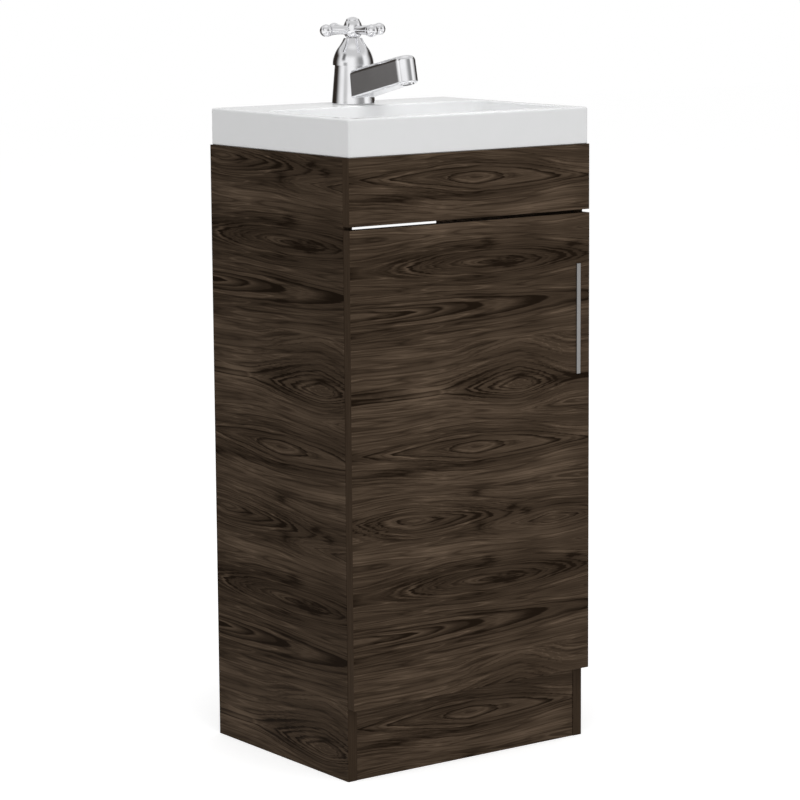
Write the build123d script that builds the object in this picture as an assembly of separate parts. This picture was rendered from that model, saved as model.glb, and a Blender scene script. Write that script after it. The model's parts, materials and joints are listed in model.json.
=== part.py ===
from build123d import *
import os
from math import cos, radians, sin, sqrt, tan

# Cabinet boards
WIDTH = 400.0
CARCASS_DEPTH = 315.0
CARCASS_HEIGHT = 830.0
BOARD = 15.0
BOARD_EASE = 0.4
TOE_HEIGHT = 100.0
TOE_RECESS = 1.0
FASCIA_HEIGHT = 89.0
UPPER_RAIL_HEIGHT = 85.0
LOWER_RAIL_HEIGHT = 80.0

# Door and its pull strip
DOOR_TOP_GAP = 4.5
DOOR_BACK_GAP = 0.5
STRIP_WIDTH = 6.4
STRIP_LENGTH = 152.0
STRIP_THICKNESS = 2.0
STRIP_EDGE_INSET = 20.0
STRIP_TOP_INSET = 68.5
STRIP_BOSS_SPACING = 128.0
STRIP_BOSS_RADIUS = 2.9
STRIP_BOSS_LENGTH = 8.0
STRIP_BOSS_FLOOR = 1.0

# Shelf on four support pins
SHELF_DEPTH = 265.0
SHELF_FRONT_SETBACK = 18.0
SHELF_SIDE_GAP = 1.0
SHELF_HOLE_RADIUS = 2.5
SHELF_HOLE_DEPTH = 10.0
SHELF_HOLE_PITCH = 32.0
SHELF_HOLE_COUNT = 3
SHELF_HOLE_LOWEST = 362.0
SHELF_HOLE_ROW_INSET = 50.0
SHELF_PIN_ROW = 1
PIN_BITE = 8.0
PIN_TAB = 8.0
PIN_TAB_WIDTH = 9.0
PIN_TAB_THICKNESS = 3.0

# Knock-down fittings and dowels
CAM_SETBACK = 24.0
CAM_RADIUS = 7.5
CAM_DEPTH = 12.0
CAM_SLOT_WIDTH = 1.6
CAM_SLOT_DEPTH = 2.0
CAM_SLOT_LENGTH = 10.5
CAM_DEPTH_SHARES = (0.2, 0.8)
BOLT_BITE = 9.0
BOLT_THREAD_RADIUS = 2.9
BOLT_NECK_RADIUS = 2.2
BOLT_HEAD_RADIUS = 3.2
BOLT_HEAD_LENGTH = 4.0
BOLT_BORE_RADIUS = 3.9
DOWEL_RADIUS = 3.95
DOWEL_BITE = 9.5
DOWEL_REACH = 20.0
TOE_DOWEL_SHARES = (0.25, 0.75)
RAIL_DOWEL_INSET = 16.0
FASCIA_DOWEL_SHARES = (0.3, 0.8)
HOLE_END_GAP = 0.5
HOLE_SIDE_GAP = 0.05
RAIL_FIXING_RADIUS = 2.5
RAIL_FIXING_SPACING = 280.0

# Wood screws and angle brackets behind the fascia
SCREW_RADIUS = 1.8
SCREW_LENGTH = 12.0
SCREW_HEAD_RADIUS = 3.6
SCREW_HEAD_HEIGHT = 1.8
SCREW_HEAD_EASE = 0.6
BRACKET_LEG = 26.0
BRACKET_WIDTH = 18.0
BRACKET_THICKNESS = 1.6
BRACKET_LIFT = 8.0
BRACKET_HOLE_REACH = 15.6

# Concealed hinges, in plan from the door's hinge edge and the carcass front
HINGE_END_INSET = 90.0
CUP_RADIUS = 17.5
CUP_DEPTH = 12.0
CUP_EDGE_TAB = 3.5
CUP_POCKET_START = 5.9
CUP_POCKET_END = 35.5
CUP_POCKET_HALF = 6.4
CUP_POCKET_DEPTH = 11.2
CUP_EAR_SPREAD = 24.0
CUP_EAR_OFFSET = 9.5
CUP_EAR_RADIUS = 6.5
CUP_PLATE_THICKNESS = 1.2
CUP_PLATE_START = 15.7
CUP_PIN_INSET = 8.0
CUP_PIN_DEPTH = 4.5
ARM_PIN_INSET = 28.0
ARM_PIN_SETBACK = 4.5
PIVOT_RADIUS = 1.0
PIVOT_CLEARANCE = 0.05
LINK_ELBOW_INSET = 13.2
LINK_ELBOW_DEPTH = 9.9
LINK_THICKNESS = 1.6
LINK_HALF_WIDTH = 6.0
LINK_EYE_RADIUS = 1.9
ARM_INSIDE_HALF = 6.2
ARM_THICKNESS = 1.2
ARM_LENGTH = 58.0
ARM_TIP_SETBACK = 1.8
ARM_TIP_TOP = 32.5
ARM_LOW_TOP = 25.5
ARM_NOSE_LENGTH = 16.0
ARM_SLOPE_LENGTH = 12.0
PLATE_WING_HALF = 24.0
PLATE_WING_WIDTH = 12.0
PLATE_WING_THICKNESS = 2.0
PLATE_SCREW_SPREAD = 16.0
PLATE_SCREW_SETBACK = 37.0
PLATE_BLOCK_HALF = 5.9
PLATE_BLOCK_TOP = 22.5
PLATE_BLOCK_START = 24.0
PLATE_BLOCK_END = 57.0

# Basin
BASIN_INSET = 1.5
BASIN_HEIGHT = 50.0
BASIN_EDGE_RADIUS = 3.0
BASIN_FOOT_CHAMFER = 1.2
SKIRT_THICKNESS = 12.0
DECK_THICKNESS = 12.0
RIM_SIDE = 18.5
RIM_FRONT = 20.0
RIM_BACK = 101.5
BOWL_DEPTH = 80.0
BOWL_TAPER = 4.0
BOWL_CORNER = 18.0
BOWL_FLOOR_RADIUS = 10.0
BOWL_LIP_RADIUS = 2.5
BOWL_WALL = 6.0
BOWL_FLOOR = 12.0
DISH_DEPTH = 2.5
DISH_MARGIN = 22.0

# Waste fitting
WASTE_RADIUS = 20.95
WASTE_BORE_RADIUS = 16.0
WASTE_HOLE_RADIUS = 22.5
WASTE_FLANGE_RADIUS = 31.5
WASTE_FLANGE_THICKNESS = 2.5
WASTE_LENGTH = 62.0
THREAD_RELIEF_HEIGHT = 1.5
THREAD_RELIEF_DEPTH = 1.0
GRID_RADIUS = 13.0
GRID_HOLE_RADIUS = 3.0
GRID_RING_RADIUS = 9.0
GRID_HOLE_COUNT = 6
WASTE_WASHER_RADIUS = 31.0
WASTE_WASHER_THICKNESS = 4.0
WASTE_NUT_FLATS = 54.0
WASTE_NUT_HEIGHT = 9.0

# Tap body, heights above the deck and spout lengths from the tap's axis
TAP_BACK_INSET = 58.0
TAP_HOLE_RADIUS = 17.5
GASKET_THICKNESS = 0.8
COLUMN_FOOT_RADIUS = 30.0
COLUMN_TOP_RADIUS = 25.5
COLUMN_HEIGHT = 54.0
SPOUT_TILT = 11.8
SPOUT_TAPER = 2.0
SPOUT_NOSE_RADIUS = 15.2
SPOUT_SHOULDER = 130.3
SPOUT_ROOT_BOTTOM = 3.8
SPOUT_ROOT_TOP = 43.4
SPOUT_TIP_BOTTOM = 5.7
SPOUT_TIP_TOP = 43.9
SPOUT_TOP_EDGE_RADIUS = 7.0
SPOUT_LOW_EDGE_RADIUS = 3.0
WATERWAY_RADIUS = 6.5
SPOUT_WATERWAY_HEIGHT = 24.0
OUTLET_REACH = 130.3
AERATOR_RADIUS = 9.8
AERATOR_HEIGHT = 9.0
AERATOR_PROUD = 1.4
AERATOR_BAR = 1.0

# Tap shank under the deck
SHANK_RADIUS = 10.48
SHANK_SOCKET = 12.0
SHANK_LENGTH = 60.0
SHANK_WASHER_RADIUS = 21.0
SHANK_WASHER_THICKNESS = 2.0
SHANK_NUT_FLATS = 30.0
SHANK_NUT_HEIGHT = 9.0

# Valve inside the tap, heights above the deck
SEAT_BOTTOM = 18.0
SEAT_TOP = 24.0
CHAMBER_TOP = 40.0
CHAMBER_RADIUS = 14.0
THREAD_TOP = 48.0
BONNET_BORE_RADIUS = 18.5
CARTRIDGE_RADIUS = 12.0
CARTRIDGE_WAIST = 11.0
CARTRIDGE_CAVITY = 9.5
CARTRIDGE_HEX_FLATS = 26.0
CARTRIDGE_HEX_HEIGHT = 5.0
CARTRIDGE_NECK_RADIUS = 8.2
CARTRIDGE_NECK_TOP = 76.0
CAVITY_TOP = 36.0
WINDOW_HEIGHT = 6.0
WINDOW_WIDTH = 8.0
SEAL_HEIGHT = 2.5
SEAL_BORE_RADIUS = 6.0
DISC_RADIUS = 9.2
DISC_THICKNESS = 3.0
DISC_GAP = 0.05
PORT_INNER_RADIUS = 2.0
PORT_OUTER_RADIUS = 7.0
SPINDLE_FOOT_RADIUS = 7.0
SPINDLE_RADIUS = 5.0
SPINDLE_CLEARANCE = 0.05
SPLINE_RADIUS = 4.4
SPLINE_BOTTOM = 78.0
SPINDLE_TOP = 103.8

# Bell bonnet, heights above the deck
BELL_RIM_RADIUS = 28.3
BELL_RIM_BAND = 1.6
BELL_WAIST_RADIUS = 20.5
BELL_WAIST_HEIGHT = 78.2
BELL_TOP_RADIUS = 12.7
BELL_TOP_HEIGHT = 91.0
BELL_WALL = 2.6
BELL_SPIGOT = 4.0
BELL_SHOULDER_SHARE = 0.76
BELL_NECK_HOLLOW = 0.6

# Cross handle, heights above the deck
HUB_BOTTOM = 92.0
HUB_BOTTOM_RADIUS = 9.6
HUB_RADIUS = 13.1
HUB_WIDEST = 105.0
HUB_TOP = 115.0
HUB_TOP_RADIUS = 9.5
HUB_LOWER_BELLY = 12.7
HUB_LOWER_DROP = 1.5
HUB_UPPER_BELLY = 11.75
HUB_UPPER_LIFT = 0.9
CAP_TOP = 120.0
CAP_DOME_RADIUS = 13.0
CAP_SHOULDER_RADIUS = 6.9
CAP_CORNER_SHARE = 0.75
CAP_CORNER_TUCK = 0.1
CAP_CORNER_LIFT = 0.3
CAP_PLUG_RADIUS = 6.0
CAP_PLUG_BOTTOM = 110.2
HEAD_SEAT = 107.0
SOCKET_TOP = 104.0
ARM_HEIGHT = 102.0
ARM_REACH = 44.8
ARM_BALL_RADIUS = 8.8
ARM_ROOT_RADIUS = 6.3
ARM_WAIST_RADIUS = 5.9
ARM_COLLAR_RADIUS = 7.4
ARM_COLLAR_ANGLE = 48.0
ARM_COUNT = 4
HANDLE_SCREW_RADIUS = 2.0
HANDLE_SCREW_HEAD_RADIUS = 3.9
HANDLE_SCREW_LENGTH = 12.0

# Places worked out from the sizes above
HALF = WIDTH / 2
INNER = HALF - BOARD
FRONT = -CARCASS_DEPTH
DOOR_BACK = FRONT - DOOR_BACK_GAP
DOOR_FRONT = DOOR_BACK - BOARD
FASCIA_BOTTOM = CARCASS_HEIGHT - FASCIA_HEIGHT
DOOR_TOP = FASCIA_BOTTOM - DOOR_TOP_GAP
FLOOR_TOP = TOE_HEIGHT + BOARD
DECK = CARCASS_HEIGHT + BASIN_HEIGHT
BASIN_BACK = -BASIN_INSET
BASIN_FRONT = FRONT - BOARD + BASIN_INSET
BASIN_HALF = HALF - BASIN_INSET
BOWL_BACK = BASIN_BACK - RIM_BACK
BOWL_FRONT = BASIN_FRONT + RIM_FRONT
BOWL_HALF = BASIN_HALF - RIM_SIDE
BOWL_CENTRE = (BOWL_BACK + BOWL_FRONT) / 2
BOWL_BASE = DECK - BOWL_DEPTH
DRAIN_TOP = BOWL_BASE - DISH_DEPTH
DRAIN_UNDERSIDE = BOWL_BASE - BOWL_FLOOR
TAP_Y = -TAP_BACK_INSET
HINGE_HEIGHTS = (TOE_HEIGHT + HINGE_END_INSET, DOOR_TOP - HINGE_END_INSET)
HINGE_NAMES = ("lower", "upper")
SIDES = (-1, 1)
SIDE_NAMES = {-1: "left", 1: "right"}
CUP_CENTRE = CUP_EDGE_TAB + CUP_RADIUS
STRIP_X = HALF - STRIP_EDGE_INSET
STRIP_Z = DOOR_TOP - STRIP_TOP_INSET - STRIP_LENGTH / 2
OVERALL_DEPTH = -(DOOR_FRONT - STRIP_THICKNESS)
TO_FOOTPRINT_CENTRE = Pos(0, OVERALL_DEPTH / 2, 0)
ON_BASE = (Align.CENTER, Align.CENTER, Align.MIN)
UP = (0, 0, 1)
DOWN = (0, 0, -1)


def block(x_range, y_range, z_range):
    """Square-edged block between two corners."""
    low = [min(r) for r in (x_range, y_range, z_range)]
    high = [max(r) for r in (x_range, y_range, z_range)]
    centre = [(a + b) / 2 for a, b in zip(low, high)]
    return Pos(*centre) * Box(*[b - a for a, b in zip(low, high)])


def board(x_range, y_range, z_range):
    """Laminated board with lightly eased edges."""
    raw = block(x_range, y_range, z_range)
    return chamfer(raw.edges(), BOARD_EASE)


def rod(start, direction, length, radius):
    """Round bar of one length that begins at a point."""
    return Plane(origin=start, z_dir=direction) * Cylinder(radius, length, align=ON_BASE)


def tube(start, direction, length, radius, bore):
    """Round bar with a bore right through."""
    return rod(start, direction, length, radius) - rod(start, direction, length, bore)


def hexagon(start, direction, flats, height, bore):
    """Hexagonal nut or flange with a round bore."""
    outline = RegularPolygon(flats / 2, 6, major_radius=False)
    return Plane(origin=start, z_dir=direction) * extrude(outline - Circle(bore), height)


def turned(points_and_arcs, centre=(0, 0)):
    """Solid of revolution about Z from an outline in the XZ plane."""
    outline = Plane.XZ * make_face(points_and_arcs)
    return Pos(centre[0], centre[1], 0) * revolve(outline, Axis.Z)


def wood_screw(start, direction):
    """Pan-head screw whose head sits on the surface at the start point."""
    plane = Plane(origin=start, z_dir=direction)
    head = Pos(0, 0, -SCREW_HEAD_HEIGHT) * Cylinder(SCREW_HEAD_RADIUS, SCREW_HEAD_HEIGHT, align=ON_BASE)
    head = chamfer(head.edges().group_by(Axis.Z)[0], SCREW_HEAD_EASE)
    return plane * (head + Cylinder(SCREW_RADIUS, SCREW_LENGTH, align=ON_BASE))


def screw_hole(start, direction):
    """Pilot hole for a wood screw."""
    return rod(start, direction, SCREW_LENGTH + HOLE_END_GAP, SCREW_RADIUS + HOLE_SIDE_GAP)


def cam_places():
    """Planes at the board ends: Z runs into the board, X to the open side of the cam bore."""
    floor_middle = TOE_HEIGHT + BOARD / 2
    rail_middle = -BOARD / 2
    upper_middle = CARCASS_HEIGHT - UPPER_RAIL_HEIGHT / 2
    lower_middle = FLOOR_TOP + LOWER_RAIL_HEIGHT / 2
    places = []
    for side in SIDES:
        inward = (-side, 0, 0)
        for share in CAM_DEPTH_SHARES:
            start = (side * INNER, FRONT * share, floor_middle)
            places.append(Plane(origin=start, x_dir=DOWN, z_dir=inward))
        for z in (upper_middle, lower_middle):
            places.append(Plane(origin=(side * INNER, rail_middle, z), x_dir=(0, 1, 0), z_dir=inward))
    return places


def dowel_places():
    """Planes at each dowelled joint: Z runs into the board that takes the longer part."""
    floor_middle = TOE_HEIGHT + BOARD / 2
    toe_middle = FRONT + TOE_RECESS + BOARD / 2
    rail_middle = -BOARD / 2
    places = []
    for side in SIDES:
        inward = (-side, 0, 0)
        points = [(FRONT / 2, floor_middle)]
        points += [(toe_middle, TOE_HEIGHT * share) for share in TOE_DOWEL_SHARES]
        points += [(rail_middle, CARCASS_HEIGHT - RAIL_DOWEL_INSET)]
        points += [(rail_middle, FLOOR_TOP + LOWER_RAIL_HEIGHT - RAIL_DOWEL_INSET)]
        places += [Plane(origin=(side * INNER, y, z), x_dir=UP, z_dir=inward) for y, z in points]
        edge_x = side * (HALF - BOARD / 2)
        for share in FASCIA_DOWEL_SHARES:
            z = FASCIA_BOTTOM + FASCIA_HEIGHT * share
            places.append(Plane(origin=(edge_x, FRONT, z), x_dir=UP, z_dir=(0, 1, 0)))
    return places


def cam_bolt():
    """Bolt with a threaded end, a slim neck and a head that the cam grips."""
    thread = Pos(0, 0, -BOLT_BITE) * Cylinder(BOLT_THREAD_RADIUS, BOLT_BITE, align=ON_BASE)
    neck = Cylinder(BOLT_NECK_RADIUS, CAM_SETBACK, align=ON_BASE)
    head_start = CAM_SETBACK - BOLT_HEAD_LENGTH / 2
    head = Pos(0, 0, head_start) * Cylinder(BOLT_HEAD_RADIUS, BOLT_HEAD_LENGTH, align=ON_BASE)
    return thread + neck + head


def cam_disc(clearance):
    """Round cam, or with no clearance the bore that takes it."""
    face = Plane(origin=(BOARD / 2, 0, CAM_SETBACK), z_dir=(-1, 0, 0))
    return face * Cylinder(CAM_RADIUS - clearance, CAM_DEPTH - clearance, align=ON_BASE)


def cam_lock():
    """Cam with its driver slot and the mouth for the bolt's head."""
    mouth = Pos(0, 0, CAM_SETBACK - CAM_RADIUS) * Cylinder(
        BOLT_BORE_RADIUS, CAM_RADIUS + BOLT_HEAD_LENGTH, align=ON_BASE
    )
    slot = Pos(BOARD / 2, 0, CAM_SETBACK) * Box(2 * CAM_SLOT_DEPTH, CAM_SLOT_WIDTH, CAM_SLOT_LENGTH)
    return cam_disc(2 * HOLE_SIDE_GAP) - mouth - slot


def cam_cutters():
    """Holes for the bolt in both boards and for the cam."""
    bite = BOLT_BITE + HOLE_END_GAP
    pilot = Pos(0, 0, -bite) * Cylinder(BOLT_THREAD_RADIUS + HOLE_SIDE_GAP, bite, align=ON_BASE)
    return pilot + Cylinder(BOLT_BORE_RADIUS, CAM_SETBACK, align=ON_BASE) + cam_disc(0)


def dowel():
    """Beech dowel with chamfered ends."""
    peg = Pos(0, 0, -DOWEL_BITE) * Cylinder(DOWEL_RADIUS, DOWEL_BITE + DOWEL_REACH, align=ON_BASE)
    return chamfer(peg.edges().group_by(Axis.Z)[0] + peg.edges().group_by(Axis.Z)[-1], BOARD_EASE)


def dowel_hole():
    """Hole for a dowel in both boards."""
    length = DOWEL_BITE + DOWEL_REACH + 2 * HOLE_END_GAP
    start = -(DOWEL_BITE + HOLE_END_GAP)
    return Pos(0, 0, start) * Cylinder(DOWEL_RADIUS + HOLE_SIDE_GAP, length, align=ON_BASE)


def joint_cutters():
    """Every knock-down hole of the carcass."""
    cams = [place * cam_cutters() for place in cam_places()]
    return cams + [place * dowel_hole() for place in dowel_places()]


def shelf_rows():
    """Front and back distances of the shelf-pin rows."""
    front = FRONT + SHELF_FRONT_SETBACK + SHELF_HOLE_ROW_INSET
    back = FRONT + SHELF_FRONT_SETBACK + SHELF_DEPTH - SHELF_HOLE_ROW_INSET
    return front, back


def shelf_holes(side):
    """Rows of blind holes for shelf pins in one side panel."""
    holes = []
    for y in shelf_rows():
        for step in range(SHELF_HOLE_COUNT):
            z = SHELF_HOLE_LOWEST + step * SHELF_HOLE_PITCH
            holes.append(rod((side * INNER, y, z), (side, 0, 0), SHELF_HOLE_DEPTH, SHELF_HOLE_RADIUS))
    return holes


def hinge_point(inset, depth, height):
    """Point from the door's hinge edge inwards and from the carcass front forwards."""
    return (-HALF + inset, FRONT - depth, height)


def plate_screw_starts(height):
    """Head seats of the two screws of a hinge's mounting plate."""
    inset = BOARD + PLATE_WING_THICKNESS
    return [
        hinge_point(inset, -PLATE_SCREW_SETBACK, height + end * PLATE_SCREW_SPREAD) for end in SIDES
    ]


def cup_screw_starts(height):
    """Head seats of the two screws of a hinge's cup."""
    inset = CUP_CENTRE + CUP_EAR_OFFSET
    depth = DOOR_BACK_GAP - CUP_PLATE_THICKNESS
    return [hinge_point(inset, depth, height + end * CUP_EAR_SPREAD) for end in SIDES]


def bracket_screw_places(side):
    """Head seats and directions of the screws of one fascia bracket."""
    z = FASCIA_BOTTOM + BRACKET_LIFT + BRACKET_WIDTH / 2
    on_side = ((side * (INNER - BRACKET_THICKNESS), FRONT + BRACKET_HOLE_REACH, z), (side, 0, 0))
    on_fascia = ((side * (INNER - BRACKET_HOLE_REACH), FRONT + BRACKET_THICKNESS, z), (0, -1, 0))
    return [on_side, on_fascia]


def side_panel(side, cutters):
    """Full-height side board with its shelf, joint and screw holes."""
    panel = board((side * INNER, side * HALF), (FRONT, 0), (0, CARCASS_HEIGHT))
    tools = list(cutters) + shelf_holes(side)
    start, direction = bracket_screw_places(side)[0]
    tools.append(screw_hole(start, direction))
    if side < 0:
        for height in HINGE_HEIGHTS:
            tools += [screw_hole(point, (-1, 0, 0)) for point in plate_screw_starts(height)]
    return panel - tools


def bottom_panel(cutters):
    """Cabinet floor between the side panels."""
    return board((-INNER, INNER), (FRONT, 0), (TOE_HEIGHT, FLOOR_TOP)) - cutters


def toe_kick_board(cutters):
    """Plinth board under the cabinet floor."""
    front = FRONT + TOE_RECESS
    return board((-INNER, INNER), (front, front + BOARD), (0, TOE_HEIGHT)) - cutters


def front_fascia(cutters):
    """Fixed false front over the side panels' edges, above the door."""
    panel = board((-HALF, HALF), (FRONT - BOARD, FRONT), (FASCIA_BOTTOM, CARCASS_HEIGHT))
    screws = [screw_hole(*bracket_screw_places(side)[1]) for side in SIDES]
    return panel - list(cutters) - screws


def upper_back_rail(cutters):
    """Rail behind the basin with two wall-fixing holes."""
    bottom = CARCASS_HEIGHT - UPPER_RAIL_HEIGHT
    rail = board((-INNER, INNER), (-BOARD, 0), (bottom, CARCASS_HEIGHT))
    z = bottom + UPPER_RAIL_HEIGHT / 2
    fixings = [
        rod((side * RAIL_FIXING_SPACING / 2, -BOARD, z), (0, 1, 0), BOARD, RAIL_FIXING_RADIUS)
        for side in SIDES
    ]
    return rail - list(cutters) - fixings


def lower_back_rail(cutters):
    """Rail that stiffens the open back above the cabinet floor."""
    top = FLOOR_TOP + LOWER_RAIL_HEIGHT
    return board((-INNER, INNER), (-BOARD, 0), (FLOOR_TOP, top)) - cutters


def shelf():
    """Loose shelf on four pins, clear of the pipes at the back."""
    x = INNER - SHELF_SIDE_GAP
    front = FRONT + SHELF_FRONT_SETBACK
    bottom = SHELF_HOLE_LOWEST + SHELF_PIN_ROW * SHELF_HOLE_PITCH + SHELF_HOLE_RADIUS
    return board((-x, x), (front, front + SHELF_DEPTH), (bottom, bottom + BOARD))


def shelf_pin(side, y):
    """Peg with a flat tab under the shelf."""
    z = SHELF_HOLE_LOWEST + SHELF_PIN_ROW * SHELF_HOLE_PITCH
    radius = SHELF_HOLE_RADIUS - HOLE_SIDE_GAP
    peg = rod((side * INNER, y, z), (side, 0, 0), PIN_BITE, radius)
    top = z + SHELF_HOLE_RADIUS
    half = PIN_TAB_WIDTH / 2
    tab = block(
        (side * (INNER - PIN_TAB), side * INNER), (y - half, y + half), (top - PIN_TAB_THICKNESS, top)
    )
    return peg + tab


def fascia_bracket(side):
    """Steel angle that ties the fascia to one side panel."""
    bottom = FASCIA_BOTTOM + BRACKET_LIFT
    heights = (bottom, bottom + BRACKET_WIDTH)
    corner = side * INNER
    on_side = block((corner - side * BRACKET_THICKNESS, corner), (FRONT, FRONT + BRACKET_LEG), heights)
    on_fascia = block((corner - side * BRACKET_LEG, corner), (FRONT, FRONT + BRACKET_THICKNESS), heights)
    holes = [screw_hole(*place) for place in bracket_screw_places(side)]
    return on_side + on_fascia - holes


def door_panel():
    """Overlay door with cup bores, screw holes and the pull's boss holes."""
    panel = board((-HALF, HALF), (DOOR_FRONT, DOOR_BACK), (TOE_HEIGHT, DOOR_TOP))
    tools = []
    for height in HINGE_HEIGHTS:
        mouth = hinge_point(CUP_CENTRE, DOOR_BACK_GAP, height)
        tools.append(rod(mouth, (0, -1, 0), CUP_DEPTH, CUP_RADIUS))
        tools += [screw_hole(point, (0, -1, 0)) for point in cup_screw_starts(height)]
    for z in strip_boss_heights():
        tools.append(rod((STRIP_X, DOOR_FRONT, z), (0, 1, 0), BOARD, STRIP_BOSS_RADIUS + HOLE_SIDE_GAP))
    return panel - tools


def strip_boss_heights():
    """Heights of the pull strip's two bosses."""
    return [STRIP_Z + end * STRIP_BOSS_SPACING / 2 for end in SIDES]


def pull_strip():
    """Slim flat metal pull with two bosses let into the door."""
    half = STRIP_WIDTH / 2
    strip = block(
        (STRIP_X - half, STRIP_X + half),
        (DOOR_FRONT - STRIP_THICKNESS, DOOR_FRONT),
        (STRIP_Z - STRIP_LENGTH / 2, STRIP_Z + STRIP_LENGTH / 2),
    )
    strip = chamfer(strip.faces().sort_by(Axis.Y)[0].edges(), BOARD_EASE)
    for z in strip_boss_heights():
        strip += rod((STRIP_X, DOOR_FRONT, z), (0, 1, 0), STRIP_BOSS_LENGTH, STRIP_BOSS_RADIUS)
        start = (STRIP_X, DOOR_FRONT + STRIP_BOSS_FLOOR, z)
        depth = STRIP_BOSS_LENGTH - STRIP_BOSS_FLOOR
        strip -= rod(start, (0, 1, 0), depth, SCREW_RADIUS + HOLE_SIDE_GAP)
    return strip


def hinge_cup(height):
    """Die-cast cup with a link pocket and a trimmed mounting plate."""
    mouth = hinge_point(CUP_CENTRE, DOOR_BACK_GAP, height)
    dish = rod(mouth, (0, -1, 0), CUP_DEPTH - HOLE_SIDE_GAP, CUP_RADIUS - HOLE_SIDE_GAP)
    pocket_depth = (DOOR_BACK_GAP - CUP_PLATE_THICKNESS, DOOR_BACK_GAP + CUP_POCKET_DEPTH)
    pocket = block(
        (-HALF + CUP_POCKET_START, -HALF + CUP_POCKET_END),
        [FRONT - depth for depth in pocket_depth],
        (height - CUP_POCKET_HALF, height + CUP_POCKET_HALF),
    )
    cup = dish + cup_plate(height) - pocket
    pin_reach = CUP_POCKET_HALF + ARM_THICKNESS
    bore = hinge_point(CUP_PIN_INSET, DOOR_BACK_GAP + CUP_PIN_DEPTH, height - pin_reach)
    cup -= rod(bore, UP, 2 * pin_reach, PIVOT_RADIUS + PIVOT_CLEARANCE)
    return cup - [screw_hole(point, (0, -1, 0)) for point in cup_screw_starts(height)]


def cup_plate(height):
    """Flat plate of the cup with two ears, cut straight beside the side panel's edge."""
    centres = [(CUP_CENTRE, 0)] + [(CUP_CENTRE + CUP_EAR_OFFSET, end * CUP_EAR_SPREAD) for end in SIDES]
    radii = [CUP_RADIUS, CUP_EAR_RADIUS, CUP_EAR_RADIUS]
    rims = [Pos(*centre) * Circle(radius).edge() for centre, radius in zip(centres, radii)]
    outline = make_hull(rims)
    reach = 2 * CUP_EAR_SPREAD
    kept = Pos(CUP_PLATE_START + reach, 0) * Rectangle(2 * reach, 2 * reach)
    back = Plane(origin=hinge_point(0, DOOR_BACK_GAP, height), x_dir=(1, 0, 0), z_dir=(0, 1, 0))
    return back * extrude(outline & kept, CUP_PLATE_THICKNESS)


def cup_pin(height):
    """Pivot pin across the cup's pocket."""
    reach = CUP_POCKET_HALF + ARM_THICKNESS - HOLE_SIDE_GAP
    start = hinge_point(CUP_PIN_INSET, DOOR_BACK_GAP + CUP_PIN_DEPTH, height - reach)
    return rod(start, UP, 2 * reach, PIVOT_RADIUS)


def arm_pin(height):
    """Riveted pivot pin across the hinge arm's nose."""
    reach = ARM_INSIDE_HALF + ARM_THICKNESS
    start = hinge_point(ARM_PIN_INSET, -ARM_PIN_SETBACK, height - reach)
    pin = rod(start, UP, 2 * reach, PIVOT_RADIUS)
    head = ARM_THICKNESS / 2
    for end in (height - reach - head, height + reach):
        pin += rod(hinge_point(ARM_PIN_INSET, -ARM_PIN_SETBACK, end), UP, head, 2 * PIVOT_RADIUS)
    return pin


def hinge_link(height):
    """Gooseneck link between the arm's pin and the cup's pin."""
    ends = [
        (ARM_PIN_INSET, -ARM_PIN_SETBACK),
        (LINK_ELBOW_INSET, LINK_ELBOW_DEPTH),
        (CUP_PIN_INSET, DOOR_BACK_GAP + CUP_PIN_DEPTH),
    ]
    points = [hinge_point(inset, depth, 0)[:2] for inset, depth in ends]
    route = FilletPolyline(*points, radius=2 * LINK_THICKNESS)
    outline = trace(route, LINK_THICKNESS)
    for point in (points[0], points[-1]):
        outline += Pos(*point) * Circle(LINK_EYE_RADIUS)
    for point in (points[0], points[-1]):
        outline -= Pos(*point) * Circle(PIVOT_RADIUS + PIVOT_CLEARANCE)
    return Pos(0, 0, height - LINK_HALF_WIDTH) * extrude(outline, 2 * LINK_HALF_WIDTH)


def hinge_arm(height):
    """Pressed-steel channel arm with a raised nose round the link."""
    foot = BOARD + PLATE_WING_THICKNESS
    nose = ARM_TIP_SETBACK + ARM_NOSE_LENGTH
    slope = nose + ARM_SLOPE_LENGTH
    side_view = [
        (foot, -ARM_LENGTH),
        (ARM_LOW_TOP, -ARM_LENGTH),
        (ARM_LOW_TOP, -slope),
        (ARM_TIP_TOP, -nose),
        (ARM_TIP_TOP, -ARM_TIP_SETBACK),
        (ARM_PIN_INSET - 2 * PIVOT_RADIUS, -ARM_TIP_SETBACK),
        (foot, -nose),
    ]
    points = [hinge_point(inset, depth, 0)[:2] for inset, depth in side_view]
    outline = make_face(Polyline(*points, close=True))
    outer_half = ARM_INSIDE_HALF + ARM_THICKNESS
    channel = extrude(outline, 2 * outer_half)
    web = Pos(-ARM_THICKNESS, 0, ARM_THICKNESS) * extrude(outline, 2 * ARM_INSIDE_HALF)
    room = Pos(-BOARD, 0, ARM_THICKNESS) * extrude(outline, 2 * ARM_INSIDE_HALF)
    mouth = block(
        (-HALF + foot, -HALF + ARM_TIP_TOP + BOARD),
        (FRONT + ARM_PIN_SETBACK + 2 * PIVOT_RADIUS + LINK_THICKNESS, FRONT - BOARD),
        (ARM_THICKNESS, ARM_THICKNESS + 2 * ARM_INSIDE_HALF),
    )
    arm = Pos(0, 0, height - outer_half) * (channel - web - room - mouth)
    pivot = hinge_point(ARM_PIN_INSET, -ARM_PIN_SETBACK, height - outer_half)
    return arm - rod(pivot, UP, 2 * outer_half, PIVOT_RADIUS + PIVOT_CLEARANCE)


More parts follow.
